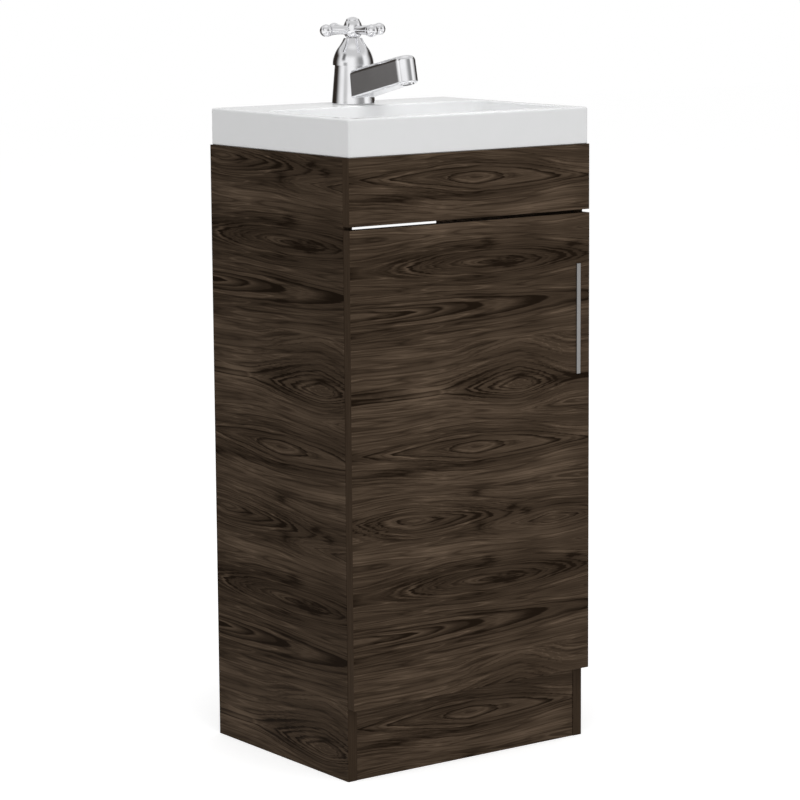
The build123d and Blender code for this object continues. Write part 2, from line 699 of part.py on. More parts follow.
def mounting_plate(height):
    """Hinge plate on the side panel: two screw wings and a block inside the arm."""
    wing_middle = FRONT + PLATE_SCREW_SETBACK
    wings = block(
        (-INNER, -INNER + PLATE_WING_THICKNESS),
        (wing_middle - PLATE_WING_WIDTH / 2, wing_middle + PLATE_WING_WIDTH / 2),
        (height - PLATE_WING_HALF, height + PLATE_WING_HALF),
    )
    core = block(
        (-INNER, -HALF + PLATE_BLOCK_TOP),
        (FRONT + PLATE_BLOCK_START, FRONT + PLATE_BLOCK_END),
        (height - PLATE_BLOCK_HALF, height + PLATE_BLOCK_HALF),
    )
    return wings + core - [screw_hole(point, (-1, 0, 0)) for point in plate_screw_starts(height)]


def bowl_outline(growth, corner):
    """Rounded rectangle of the bowl's mouth, grown evenly."""
    width = 2 * (BOWL_HALF + growth)
    depth = BOWL_BACK - BOWL_FRONT + 2 * growth
    return RectangleRounded(width, depth, corner)


def bowl_cavity():
    """Tapered inside of the bowl with a dished floor."""
    mouth = Pos(0, BOWL_CENTRE, DECK) * bowl_outline(0, BOWL_CORNER)
    walls = extrude(mouth, -BOWL_DEPTH, taper=BOWL_TAPER)
    walls = fillet(walls.faces().sort_by(Axis.Z)[0].edges(), BOWL_FLOOR_RADIUS)
    floor = Pos(0, BOWL_CENTRE, BOWL_BASE) * bowl_outline(-DISH_MARGIN, BOWL_CORNER)
    drain = Pos(0, BOWL_CENTRE, DRAIN_TOP) * Circle(WASTE_FLANGE_RADIUS + HOLE_END_GAP)
    return walls + loft([floor, drain])


def bowl_shell():
    """Outside of the bowl below the deck."""
    top = DECK - DECK_THICKNESS
    growth = BOWL_WALL - DECK_THICKNESS * tan(radians(BOWL_TAPER))
    mouth = Pos(0, BOWL_CENTRE, top) * bowl_outline(growth, BOWL_CORNER + BOWL_WALL)
    shell = extrude(mouth, DRAIN_UNDERSIDE - top, taper=BOWL_TAPER)
    return fillet(shell.faces().sort_by(Axis.Z)[0].edges(), BOWL_FLOOR_RADIUS)


def basin():
    """Moulded basin: deck, skirt, bowl, tap hole and drain hole."""
    body = block((-BASIN_HALF, BASIN_HALF), (BASIN_FRONT, BASIN_BACK), (CARCASS_HEIGHT, DECK))
    body = fillet(body.edges().filter_by(Axis.Z), BASIN_EDGE_RADIUS)
    body = fillet(body.faces().sort_by(Axis.Z)[-1].edges(), BASIN_EDGE_RADIUS)
    body = chamfer(body.faces().sort_by(Axis.Z)[0].edges(), BASIN_FOOT_CHAMFER)
    under = block(
        (-BASIN_HALF + SKIRT_THICKNESS, BASIN_HALF - SKIRT_THICKNESS),
        (BASIN_FRONT + SKIRT_THICKNESS, BASIN_BACK - SKIRT_THICKNESS),
        (CARCASS_HEIGHT, DECK - DECK_THICKNESS),
    )
    body = body - under + bowl_shell() - bowl_cavity()
    rim = body.edges().filter_by(lambda e: abs(e.center().Z - DECK) < HOLE_SIDE_GAP)
    lip = [edge for edge in rim if on_bowl_mouth(edge)]
    body = fillet(lip, BOWL_LIP_RADIUS)
    tap_hole = rod((0, TAP_Y, DECK), DOWN, DECK_THICKNESS, TAP_HOLE_RADIUS)
    drain = rod((0, BOWL_CENTRE, DRAIN_TOP), DOWN, BOWL_DEPTH, WASTE_HOLE_RADIUS)
    return body - tap_hole - drain


def on_bowl_mouth(edge):
    """True for the deck edges that bound the bowl."""
    centre = edge.center()
    inside_x = abs(centre.X) < BOWL_HALF + HOLE_END_GAP
    inside_y = BOWL_FRONT - HOLE_END_GAP < centre.Y < BOWL_BACK + HOLE_END_GAP
    return inside_x and inside_y


def thread_relief(start, radius):
    """Ring cut out of a threaded tail below its backnut."""
    return tube(start, DOWN, THREAD_RELIEF_HEIGHT, 2 * radius, radius - THREAD_RELIEF_DEPTH)


def basin_waste():
    """Grid waste: flange, threaded tail and bore."""
    flange_bottom = DRAIN_TOP
    flange = rod((0, BOWL_CENTRE, flange_bottom), UP, WASTE_FLANGE_THICKNESS, WASTE_FLANGE_RADIUS)
    flange = chamfer(flange.edges().group_by(Axis.Z)[-1], WASTE_FLANGE_THICKNESS / 2)
    tail = rod((0, BOWL_CENTRE, flange_bottom), DOWN, WASTE_LENGTH, WASTE_RADIUS)
    bore = rod((0, BOWL_CENTRE, flange_bottom), DOWN, WASTE_LENGTH, WASTE_BORE_RADIUS)
    top = flange_bottom + WASTE_FLANGE_THICKNESS
    dish = rod((0, BOWL_CENTRE, top), DOWN, WASTE_FLANGE_THICKNESS / 2, GRID_RADIUS)
    holes = [Pos(0, BOWL_CENTRE, flange_bottom) * Cylinder(GRID_HOLE_RADIUS, BOARD)]
    for place in PolarLocations(GRID_RING_RADIUS, GRID_HOLE_COUNT):
        holes.append(Pos(0, BOWL_CENTRE, flange_bottom) * place * Cylinder(GRID_HOLE_RADIUS, BOARD))
    relief_top = DRAIN_UNDERSIDE - WASTE_WASHER_THICKNESS - WASTE_NUT_HEIGHT
    relief = thread_relief((0, BOWL_CENTRE, relief_top), WASTE_RADIUS)
    return flange + tail - bore - dish - relief - holes


def waste_washer():
    """Rubber washer under the bowl."""
    start = (0, BOWL_CENTRE, DRAIN_UNDERSIDE)
    return tube(start, DOWN, WASTE_WASHER_THICKNESS, WASTE_WASHER_RADIUS, WASTE_RADIUS + HOLE_SIDE_GAP)


def waste_backnut():
    """Hexagonal backnut that pulls the waste down."""
    start = (0, BOWL_CENTRE, DRAIN_UNDERSIDE - WASTE_WASHER_THICKNESS)
    return hexagon(start, DOWN, WASTE_NUT_FLATS, WASTE_NUT_HEIGHT, WASTE_RADIUS + HOLE_SIDE_GAP)


def at_tap(height):
    """Point on the tap's axis at a height above the deck."""
    return (0, TAP_Y, DECK + height)


def spout_frame():
    """Plane of the tilted spout: Y runs back to the axis, Z square to the spout."""
    tilt = radians(SPOUT_TILT)
    return Plane(origin=at_tap(0), x_dir=(1, 0, 0), z_dir=(0, sin(tilt), cos(tilt)))


def spout_shape():
    """Flat-sided spout that narrows forward and ends in a round nose."""
    taper = radians(SPOUT_TAPER)
    shoulder = -SPOUT_SHOULDER
    tip_half = SPOUT_NOSE_RADIUS * cos(taper)
    tangent = shoulder - SPOUT_NOSE_RADIUS * sin(taper)
    root_half = tip_half - tangent * tan(taper)
    plan = Polyline((-tip_half, tangent), (-root_half, 0), (root_half, 0), (tip_half, tangent))
    plan += ThreePointArc(
        (tip_half, tangent), (0, shoulder - SPOUT_NOSE_RADIUS), (-tip_half, tangent)
    )
    bar = extrude(make_face(plan), 2 * SPOUT_ROOT_TOP)
    side_view = [
        (0, SPOUT_ROOT_BOTTOM),
        (2 * shoulder, 2 * SPOUT_TIP_BOTTOM - SPOUT_ROOT_BOTTOM),
        (2 * shoulder, 2 * SPOUT_TIP_TOP - SPOUT_ROOT_TOP),
        (0, SPOUT_ROOT_TOP),
    ]
    profile = Plane.YZ * make_face(Polyline(*side_view, close=True))
    spout = bar & extrude(profile, 2 * root_half, both=True)
    spout = fillet(long_rims(spout.faces().sort_by(Axis.Z)[-1]), SPOUT_TOP_EDGE_RADIUS)
    return spout_frame() * fillet(long_rims(spout.faces().sort_by(Axis.Z)[0]), SPOUT_LOW_EDGE_RADIUS)


def long_rims(face):
    """Edges of a spout face that show, without the one inside the column."""
    return [edge for edge in face.edges() if edge.center().Y < -HOLE_SIDE_GAP]


def tap_column():
    """Tapering column between the deck and the bonnet."""
    foot = DECK + GASKET_THICKNESS
    top = DECK + COLUMN_HEIGHT
    outline = Polyline(
        (0, foot), (COLUMN_FOOT_RADIUS, foot), (COLUMN_TOP_RADIUS, top), (0, top), close=True
    )
    column = turned(outline, (0, TAP_Y))
    return chamfer(column.edges().group_by(Axis.Z)[0], GASKET_THICKNESS)


def tap_body():
    """One casting: column, spout, valve seat and waterways."""
    body = tap_column() + spout_shape()
    top = COLUMN_HEIGHT
    body -= rod(at_tap(0), UP, SHANK_SOCKET, SHANK_RADIUS + HOLE_SIDE_GAP)
    body -= rod(at_tap(0), UP, SEAT_BOTTOM, WATERWAY_RADIUS)
    body -= rod(at_tap(SEAT_BOTTOM), UP, THREAD_TOP - SEAT_BOTTOM, CARTRIDGE_RADIUS + HOLE_SIDE_GAP)
    body -= rod(at_tap(SEAT_TOP), UP, CHAMBER_TOP - SEAT_TOP, CHAMBER_RADIUS)
    body -= rod(at_tap(THREAD_TOP), UP, top - THREAD_TOP, BONNET_BORE_RADIUS)
    frame = spout_frame()
    run = OUTLET_REACH - CHAMBER_RADIUS
    waterway = Plane(origin=(0, -CHAMBER_RADIUS, SPOUT_WATERWAY_HEIGHT), z_dir=(0, -1, 0))
    body -= frame * (waterway * Cylinder(WATERWAY_RADIUS, run, align=ON_BASE))
    outlet = Pos(0, -OUTLET_REACH, 0) * Cylinder(WATERWAY_RADIUS, SPOUT_WATERWAY_HEIGHT, align=ON_BASE)
    seat_height = SPOUT_TIP_BOTTOM - AERATOR_PROUD + AERATOR_HEIGHT
    seat = Pos(0, -OUTLET_REACH, 0) * Cylinder(AERATOR_RADIUS, seat_height, align=ON_BASE)
    return body - frame * outlet - frame * seat


def aerator():
    """Flow straightener in the spout's outlet."""
    radius = AERATOR_RADIUS - HOLE_SIDE_GAP
    bottom = SPOUT_TIP_BOTTOM - AERATOR_PROUD
    insert = Pos(0, -OUTLET_REACH, bottom) * Cylinder(radius, AERATOR_HEIGHT, align=ON_BASE)
    outlet = Pos(0, -OUTLET_REACH, bottom) * Cylinder(
        WATERWAY_RADIUS, AERATOR_HEIGHT - AERATOR_BAR, align=ON_BASE
    )
    bars = Pos(0, -OUTLET_REACH, bottom + AERATOR_HEIGHT / 2)
    length = 2 * WATERWAY_RADIUS
    grille = bars * Box(length, AERATOR_BAR, AERATOR_BAR) + bars * Box(AERATOR_BAR, length, AERATOR_BAR)
    inlet = Pos(0, -OUTLET_REACH, bottom) * Cylinder(SEAL_BORE_RADIUS, AERATOR_HEIGHT, align=ON_BASE)
    return spout_frame() * (insert - outlet - inlet + grille)


def deck_gasket():
    """Thin rubber gasket under the tap's foot."""
    radius = COLUMN_FOOT_RADIUS - GASKET_THICKNESS
    return tube(at_tap(0), UP, GASKET_THICKNESS, radius, TAP_HOLE_RADIUS)


def tap_shank():
    """Threaded brass tail with its bore."""
    top = SHANK_SOCKET - HOLE_END_GAP
    tail = tube(at_tap(top), DOWN, top + SHANK_LENGTH, SHANK_RADIUS, WATERWAY_RADIUS)
    relief_top = -DECK_THICKNESS - SHANK_WASHER_THICKNESS - SHANK_NUT_HEIGHT
    return tail - thread_relief(at_tap(relief_top), SHANK_RADIUS)


def shank_washer():
    """Washer under the deck, wider than the tap hole."""
    start = at_tap(-DECK_THICKNESS)
    return tube(start, DOWN, SHANK_WASHER_THICKNESS, SHANK_WASHER_RADIUS, SHANK_RADIUS + HOLE_SIDE_GAP)


def shank_backnut():
    """Hexagonal nut that clamps the tap to the deck."""
    start = at_tap(-DECK_THICKNESS - SHANK_WASHER_THICKNESS)
    return hexagon(start, DOWN, SHANK_NUT_FLATS, SHANK_NUT_HEIGHT, SHANK_RADIUS + HOLE_SIDE_GAP)


def valve_cartridge():
    """Brass headwork: seat, waist with water windows, hexagon and neck."""
    shell = rod(at_tap(SEAT_BOTTOM), UP, THREAD_TOP - SEAT_BOTTOM, CARTRIDGE_RADIUS)
    groove = tube(at_tap(SEAT_TOP), UP, CHAMBER_TOP - SEAT_TOP, CHAMBER_RADIUS, CARTRIDGE_WAIST)
    neck_height = CARTRIDGE_NECK_TOP - THREAD_TOP
    neck = rod(at_tap(THREAD_TOP), UP, neck_height, CARTRIDGE_NECK_RADIUS)
    flange = hexagon(at_tap(THREAD_TOP), UP, CARTRIDGE_HEX_FLATS, CARTRIDGE_HEX_HEIGHT, SPINDLE_RADIUS)
    cavity = rod(at_tap(SEAT_BOTTOM), UP, CAVITY_TOP - SEAT_BOTTOM, CARTRIDGE_CAVITY)
    window = Pos(*at_tap(CAVITY_TOP - WINDOW_HEIGHT)) * Box(
        3 * CARTRIDGE_RADIUS, WINDOW_WIDTH, WINDOW_HEIGHT
    )
    bore_height = CARTRIDGE_NECK_TOP - SEAT_BOTTOM
    bore = rod(at_tap(SEAT_BOTTOM), UP, bore_height, SPINDLE_RADIUS + SPINDLE_CLEARANCE)
    return shell + neck + flange - groove - cavity - window - bore


def ported_disc(bottom, thickness, turn):
    """Ceramic disc with two quarter-circle ports."""
    ring = Circle(PORT_OUTER_RADIUS) - Circle(PORT_INNER_RADIUS)
    reach = 2 * PORT_OUTER_RADIUS
    quarter = Polyline((0, 0), (reach, 0), (reach, reach), (0, reach), close=True)
    ports = [ring & (Rot(0, 0, turn + half_turn) * make_face(quarter)) for half_turn in (0, 180)]
    outline = Circle(DISC_RADIUS) - ports
    return Pos(*at_tap(bottom)) * extrude(outline, thickness)


def fixed_disc():
    """Lower valve disc, held by the cartridge."""
    return ported_disc(SEAT_BOTTOM + SEAL_HEIGHT, DISC_THICKNESS, 0)


def moving_disc():
    """Upper valve disc, turned by the spindle, closed at rest."""
    bottom = SEAT_BOTTOM + SEAL_HEIGHT + DISC_THICKNESS + DISC_GAP
    return ported_disc(bottom, DISC_THICKNESS, 90)


def valve_seal():
    """Rubber seal between the seat and the fixed disc."""
    return tube(at_tap(SEAT_BOTTOM), UP, SEAL_HEIGHT, DISC_RADIUS, SEAL_BORE_RADIUS)


def valve_spindle():
    """Turning spindle from the moving disc to the handle."""
    foot_bottom = SEAT_BOTTOM + SEAL_HEIGHT + 2 * DISC_THICKNESS + DISC_GAP
    foot_top = CAVITY_TOP - HOLE_END_GAP
    foot = rod(at_tap(foot_bottom), UP, foot_top - foot_bottom, SPINDLE_FOOT_RADIUS)
    stem = rod(at_tap(foot_top), UP, SPLINE_BOTTOM - foot_top, SPINDLE_RADIUS)
    spline = rod(at_tap(SPLINE_BOTTOM), UP, SPINDLE_TOP - SPLINE_BOTTOM, SPLINE_RADIUS)
    hole_bottom = HEAD_SEAT - HANDLE_SCREW_LENGTH - HOLE_END_GAP
    hole = rod(at_tap(hole_bottom), UP, SPINDLE_TOP - hole_bottom, HANDLE_SCREW_RADIUS + HOLE_SIDE_GAP)
    return foot + stem + spline - hole


def bell_bonnet():
    """Bell-shaped cover over the valve, with a locating spigot."""
    seat = DECK + COLUMN_HEIGHT
    band = seat + BELL_RIM_BAND
    waist = DECK + BELL_WAIST_HEIGHT
    top = DECK + BELL_TOP_HEIGHT
    spigot_radius = BONNET_BORE_RADIUS - 2 * HOLE_SIDE_GAP
    spigot = seat - BELL_SPIGOT
    shoulder_radius = BELL_WAIST_RADIUS + BELL_SHOULDER_SHARE * (BELL_RIM_RADIUS - BELL_WAIST_RADIUS)
    shoulder = (shoulder_radius, (band + waist) / 2)
    neck = ((BELL_WAIST_RADIUS + BELL_TOP_RADIUS) / 2 - BELL_NECK_HOLLOW, (waist + top) / 2)
    outline = Polyline(
        (BELL_TOP_RADIUS - BELL_WALL, top),
        (BELL_TOP_RADIUS - BELL_WALL, waist + BELL_WALL),
        (spigot_radius - BELL_WALL, seat),
        (spigot_radius - BELL_WALL, spigot),
        (spigot_radius, spigot),
        (spigot_radius, seat),
        (BELL_RIM_RADIUS, seat),
        (BELL_RIM_RADIUS, band),
    )
    outline += ThreePointArc((BELL_RIM_RADIUS, band), shoulder, (BELL_WAIST_RADIUS, waist))
    outline += ThreePointArc((BELL_WAIST_RADIUS, waist), neck, (BELL_TOP_RADIUS, top))
    outline += Line((BELL_TOP_RADIUS, top), (BELL_TOP_RADIUS - BELL_WALL, top))
    return turned(outline, (0, TAP_Y))


def handle_arm():
    """One arm of the cross handle: waisted stem, collar and ball."""
    ball_start = ARM_REACH - cos(radians(ARM_COLLAR_ANGLE)) * ARM_BALL_RADIUS
    waist = (HUB_RADIUS + ball_start) / 2
    outline = Line((0, 0), (ARM_ROOT_RADIUS, 0))
    outline += Line((ARM_ROOT_RADIUS, 0), (ARM_ROOT_RADIUS, HUB_RADIUS))
    outline += ThreePointArc(
        (ARM_ROOT_RADIUS, HUB_RADIUS), (ARM_WAIST_RADIUS, waist), (ARM_COLLAR_RADIUS, ball_start)
    )
    outline += Line((ARM_COLLAR_RADIUS, ball_start), (0, ball_start))
    outline += Line((0, ball_start), (0, 0))
    stem = turned(outline)
    return stem + Pos(0, 0, ARM_REACH) * Sphere(ARM_BALL_RADIUS)


def tap_handle():
    """Cross handle: turned hub with four ball-ended arms."""
    bottom = DECK + HUB_BOTTOM
    widest = DECK + HUB_WIDEST
    top = DECK + HUB_TOP
    lower = (HUB_LOWER_BELLY, (bottom + widest) / 2 - HUB_LOWER_DROP)
    upper = (HUB_UPPER_BELLY, (widest + top) / 2 + HUB_UPPER_LIFT)
    outline = Polyline((0, top), (0, bottom), (HUB_BOTTOM_RADIUS, bottom))
    outline += ThreePointArc((HUB_BOTTOM_RADIUS, bottom), lower, (HUB_RADIUS, widest))
    outline += ThreePointArc((HUB_RADIUS, widest), upper, (HUB_TOP_RADIUS, top))
    outline += Line((HUB_TOP_RADIUS, top), (0, top))
    handle = turned(outline, (0, TAP_Y))
    for index in range(ARM_COUNT):
        turn = Rot(0, 0, index * 360 / ARM_COUNT)
        handle += Pos(*at_tap(ARM_HEIGHT)) * turn * Rot(0, 90, 0) * handle_arm()
    handle -= rod(at_tap(HUB_BOTTOM), UP, SOCKET_TOP - HUB_BOTTOM, SPLINE_RADIUS + HOLE_SIDE_GAP)
    handle -= rod(at_tap(HUB_BOTTOM), UP, HUB_TOP - HUB_BOTTOM, HANDLE_SCREW_RADIUS + HOLE_SIDE_GAP)
    return handle - rod(at_tap(HEAD_SEAT), UP, HUB_TOP - HEAD_SEAT, CAP_PLUG_RADIUS + HOLE_SIDE_GAP)


def handle_screw():
    """Screw that holds the handle on the spindle."""
    head = rod(at_tap(HEAD_SEAT), UP, CAP_PLUG_BOTTOM - HEAD_SEAT - HOLE_END_GAP, HANDLE_SCREW_HEAD_RADIUS)
    return head + rod(at_tap(HEAD_SEAT), DOWN, HANDLE_SCREW_LENGTH, HANDLE_SCREW_RADIUS)


def dome_point(crown, radius):
    """Outline point of the cap's dome at a distance from the axis."""
    return (radius, crown - CAP_DOME_RADIUS + sqrt(CAP_DOME_RADIUS**2 - radius**2))


def handle_cap():
    """Domed cap that plugs the hub."""
    plug = DECK + CAP_PLUG_BOTTOM
    seat = DECK + HUB_TOP
    crown = DECK + CAP_TOP
    shoulder = dome_point(crown, CAP_SHOULDER_RADIUS)
    corner_radius = CAP_SHOULDER_RADIUS + CAP_CORNER_SHARE * (HUB_TOP_RADIUS - CAP_SHOULDER_RADIUS)
    corner = (corner_radius - CAP_CORNER_TUCK, (seat + shoulder[1]) / 2 + CAP_CORNER_LIFT)
    outline = Polyline((0, crown), (0, plug), (CAP_PLUG_RADIUS, plug), (CAP_PLUG_RADIUS, seat))
    outline += Line((CAP_PLUG_RADIUS, seat), (HUB_TOP_RADIUS, seat))
    outline += ThreePointArc((HUB_TOP_RADIUS, seat), corner, shoulder)
    outline += ThreePointArc(shoulder, dome_point(crown, CAP_SHOULDER_RADIUS / 2), (0, crown))
    return turned(outline, (0, TAP_Y))


def carcass_nodes():
    """Boards, shelf and their fasteners."""
    cutters = joint_cutters()
    nodes = {f"{SIDE_NAMES[side]}_side_panel": side_panel(side, cutters) for side in SIDES}
    nodes["bottom_panel"] = bottom_panel(cutters)
    nodes["toe_kick_board"] = toe_kick_board(cutters)
    nodes["front_fascia"] = front_fascia(cutters)
    nodes["upper_back_rail"] = upper_back_rail(cutters)
    nodes["lower_back_rail"] = lower_back_rail(cutters)
    nodes["shelf"] = shelf()
    nodes["shelf_pins"] = [shelf_pin(side, y) for side in SIDES for y in shelf_rows()]
    nodes["cam_bolts"] = [place * cam_bolt() for place in cam_places()]
    nodes["cam_locks"] = [place * cam_lock() for place in cam_places()]
    nodes["wood_dowels"] = [place * dowel() for place in dowel_places()]
    nodes["bracket_screws"] = [
        wood_screw(*place) for side in SIDES for place in bracket_screw_places(side)
    ]
    for side in SIDES:
        nodes[f"{SIDE_NAMES[side]}_fascia_bracket"] = fascia_bracket(side)
    return nodes


def door_nodes():
    """Door, pull strip and concealed hinges."""
    nodes = {"door_panel": door_panel(), "door_pull_strip": pull_strip()}
    nodes["pull_strip_screws"] = [
        wood_screw((STRIP_X, DOOR_BACK, z), (0, -1, 0)) for z in strip_boss_heights()
    ]
    for name, height in zip(HINGE_NAMES, HINGE_HEIGHTS):
        nodes[f"{name}_hinge_cup"] = hinge_cup(height)
        nodes[f"{name}_hinge_link"] = hinge_link(height)
        nodes[f"{name}_hinge_arm"] = hinge_arm(height)
        nodes[f"{name}_mounting_plate"] = mounting_plate(height)
    nodes["hinge_cup_pins"] = [cup_pin(height) for height in HINGE_HEIGHTS]
    nodes["hinge_arm_pins"] = [arm_pin(height) for height in HINGE_HEIGHTS]
    nodes["hinge_cup_screws"] = [
        wood_screw(point, (0, -1, 0)) for height in HINGE_HEIGHTS for point in cup_screw_starts(height)
    ]
    nodes["mounting_plate_screws"] = [
        wood_screw(point, (-1, 0, 0)) for height in HINGE_HEIGHTS for point in plate_screw_starts(height)
    ]
    return nodes


def basin_nodes():
    """Basin and waste fitting."""
    return {
        "basin": basin(),
        "basin_waste": basin_waste(),
        "waste_washer": waste_washer(),
        "waste_backnut": waste_backnut(),
    }


def tap_nodes():
    """Tap, its valve and what fixes it to the deck."""
    return {
        "tap_body": tap_body(),
        "spout_aerator": aerator(),
        "deck_gasket": deck_gasket(),
        "tap_shank": tap_shank(),
        "shank_washer": shank_washer(),
        "shank_backnut": shank_backnut(),
        "valve_cartridge": valve_cartridge(),
        "valve_seal": valve_seal(),
        "fixed_valve_disc": fixed_disc(),
        "moving_valve_disc": moving_disc(),
        "valve_spindle": valve_spindle(),
        "bell_bonnet": bell_bonnet(),
        "cross_handle": tap_handle(),
        "handle_screw": handle_screw(),
        "handle_cap": handle_cap(),
    }


def write_nodes():
    """Write one file per node in the frame of the footprint's centre."""
    os.makedirs("parts", exist_ok=True)
    nodes = {**carcass_nodes(), **door_nodes(), **basin_nodes(), **tap_nodes()}
    for name, shape in nodes.items():
        solids = shape if isinstance(shape, list) else [shape]
        placed = [TO_FOOTPRINT_CENTRE * solid for each in solids for solid in each.solids()]
        export_step(placed[0] if len(placed) == 1 else Compound(placed), f"parts/{name}.step")


write_nodes()
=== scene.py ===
import json
import math

import bpy
from mathutils import Matrix, Vector

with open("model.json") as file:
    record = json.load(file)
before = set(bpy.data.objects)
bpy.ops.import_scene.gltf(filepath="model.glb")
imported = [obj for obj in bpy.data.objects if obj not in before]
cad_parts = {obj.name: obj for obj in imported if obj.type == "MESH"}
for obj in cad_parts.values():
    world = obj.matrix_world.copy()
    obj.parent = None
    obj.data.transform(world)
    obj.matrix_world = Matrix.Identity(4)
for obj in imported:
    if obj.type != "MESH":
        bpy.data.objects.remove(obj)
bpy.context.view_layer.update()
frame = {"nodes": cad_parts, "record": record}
nodes = frame["nodes"]

# Camera, solved from the cabinet's edges: metres, radians, millimetres of lens
CAMERA_PLACE = (-2.4460, -3.36095, 1.1332)
CAMERA_YAW = 0.62864001
CAMERA_PITCH = 0.156656057
CAMERA_ROLL = -0.00713022424
CAMERA_LENS = 137.04
CAMERA_SENSOR = 36.0
CAMERA_SIDE = math.atan2(-math.cos(CAMERA_YAW), -math.sin(CAMERA_YAW))
CARD_DISTANCE = 9.0
CARD_LIFT = 0.002
CEILING_TONE = 0.66
FLOOR_REACH = 12.0
FLOOR_GLOW = 0.5

# Light levels, where 1 lights a white surface to white
WORLD_LIGHT = 0.55
KEY_POWER = 60.0
KEY_PLACE = (-0.5, -1.4, 4.2)
KEY_SIZE = 3.0
BOWL_POWER = 55.0
BOWL_LAMP_PLACE = (0.0, -0.04, 2.3)
BOWL_LAMP_CONE = 12.0

# Studio cards, seen in gloss only and placed round the camera: sides in degrees and heights in
# metres, each as starts, is full, is still full and ends; then colour, strength, lying down
CARDS = {
    "left_flag": ((-166, -150, -113.5, -70), (-0.5, -0.4, 4.0, 7.0), (46, 40, 35)),
    "right_flag": ((80, 132, 150, 166), (-0.5, -0.4, 4.0, 7.0), (46, 40, 35)),
    "left_apron": ((-170, -150, -105, -80), (0.3, 0.7, 8.0, 8.9), (60, 54, 50), 0.9, True),
    "right_apron": ((100, 120, 155, 170), (0.3, 0.7, 8.0, 8.9), (60, 54, 50), 0.9, True),
    "low_flag": ((150, 166, 194, 210), (-0.5, -0.4, 0.95, 1.25), (46, 40, 35)),
    "right_card": ((-4, 42, 54, 72), (-0.5, -0.4, 4.0, 9.0), (142, 142, 142), 0.95),
    "left_card": ((-64, -48, -42, -26), (-0.5, -0.4, 1.4, 2.4), (110, 110, 110), 0.7),
    "high_left_card": ((-78, -62, -56, -40), (2.0, 4.0, 7.0, 9.0), (80, 80, 80), 0.9),
    "slot_card": ((140, 166, 194, 220), (1.2, 1.8, 3.0, 5.0), (190, 190, 190), 0.8),
}

# Laminate tile in millimetres: it repeats up the boards
TILE_HEIGHT = 432.0
TILE_SEAM = 575.0
BACK_FACE = 166.25
DOOR_HALF = 200.0
RING_REACH = 32.0
RING_EDGE = 0.5
RING_BLEND = 6.0
FIGURE_BLEND = 8.0
FLANK_SHARE = 0.4
FIGURE_HEIGHT = 23.0
VEIN_SHARPNESS = 20.0
HAIR_LEVEL = 0.62
HAIR_SHARPNESS = 34.0

# Grain figures: centre along and up the tile, tilt, ring slope to the left and right, squeeze
# above and below, roundness (2 is an ellipse, 1 a lozenge), then rings as inner radius, outer
# radius and depth of tone
FIGURES = {
    "knot": ((226.0, 249.0), 0.0, (0.12, 0.12), (0.95, 1.05), 1.75, (
        (0.0, 2.0, 0.4), (4.4, 5.4, 0.4), (6.6, 7.6, 0.45), (9.2, 10.6, 0.6), (11.4, 12.2, 0.3),
        (14.2, 15.8, 0.85), (17.0, 18.0, 0.35), (19.2, 20.0, 0.3),
    )),
    "heart": ((-40.0, 193.0), 0.0, (0.055, 0.055), (1.35, 0.85), 1.9, (
        (4.6, 7.6, 1.0), (8.9, 10.2, 1.0), (10.9, 13.9, 0.85), (17.2, 19.8, 0.8), (22.2, 23.6, 0.6),
    )),
    "swirl": ((277.0, 511.0), 0.0, (0.2, 0.27), (0.75, 1.35), 1.3, (
        (0.0, 1.2, 0.5), (5.4, 7.0, 0.6), (8.6, 10.6, 1.1), (13.4, 15.2, 1.0), (16.6, 18.2, 1.1),
        (22.2, 24.2, 1.0), (27.0, 28.0, 0.4),
    )),
    "eye": ((205.0, 433.5), -0.032, (0.108, 0.103), (1.0, 1.0), 1.3, (
        (13.2, 15.0, 1.0), (18.6, 20.0, 0.8), (22.6, 23.4, 0.3),
    )),
    "pupil": ((203.0, 433.0), -0.032, (0.2, 0.17), (1.0, 1.0), 1.7, (
        (5.6, 8.4, 0.85),
    )),
    "ripple": ((100.0, 345.0), -0.05, (0.19, 0.13), (1.25, 0.8), 1.5, (
        (3.6, 5.8, 0.9), (9.2, 11.2, 1.0), (12.8, 14.6, 0.9), (15.8, 17.2, 0.9), (20.0, 21.0, 0.5),
    )),
    "lens": ((337.0, 320.5), 0.0, (0.14, 0.13), (1.0, 1.1), 1.3, (
        (4.2, 6.2, 0.9), (9.0, 10.0, 0.4),
    )),
}

# Noises of the grain: length along and across it in millimetres, seed, detail, roughness
GRAIN = {
    "sway": (110, 34, 0.0, 2.0, 0.5),
    "rough": (60, 8, 3.0, 2.0, 0.5),
    "drift": (50, 2.6, 7.0, 3.0, 0.6),
    "ragged": (30, 1.8, 41.0, 3.0, 0.6),
    "fray": (12, 5, 43.0, 2.0, 0.5),
    "lines": (500, 2.2, 11.0, 2.0, 0.6),
    "bands": (300, 13, 17.0, 2.0, 0.5),
    "fibre": (120, 1.3, 23.0, 2.0, 0.7),
    "blotch": (90, 30, 29.0, 2.0, 0.5),
    "veins": (210, 7.5, 37.0, 2.0, 0.55),
}

# How far a noise pushes the place it is read at, in millimetres
SWAY = 3.4
ROUGH = 1.0
DRIFT = 13.0
RAGGED = 26.0
FRAY = 3.0

# Tone of the wood, from 0 for the darkest to 1 for the palest, and what each layer adds to it
BASE_TONE = 0.55
RING_WEIGHT = -0.8
VEIN_WEIGHT = -0.28
HAIR_WEIGHT = 0.3
LINE_WEIGHT = 0.7
BAND_WEIGHT = 0.45
FIBRE_WEIGHT = 0.55
BLOTCH_WEIGHT = 0.5

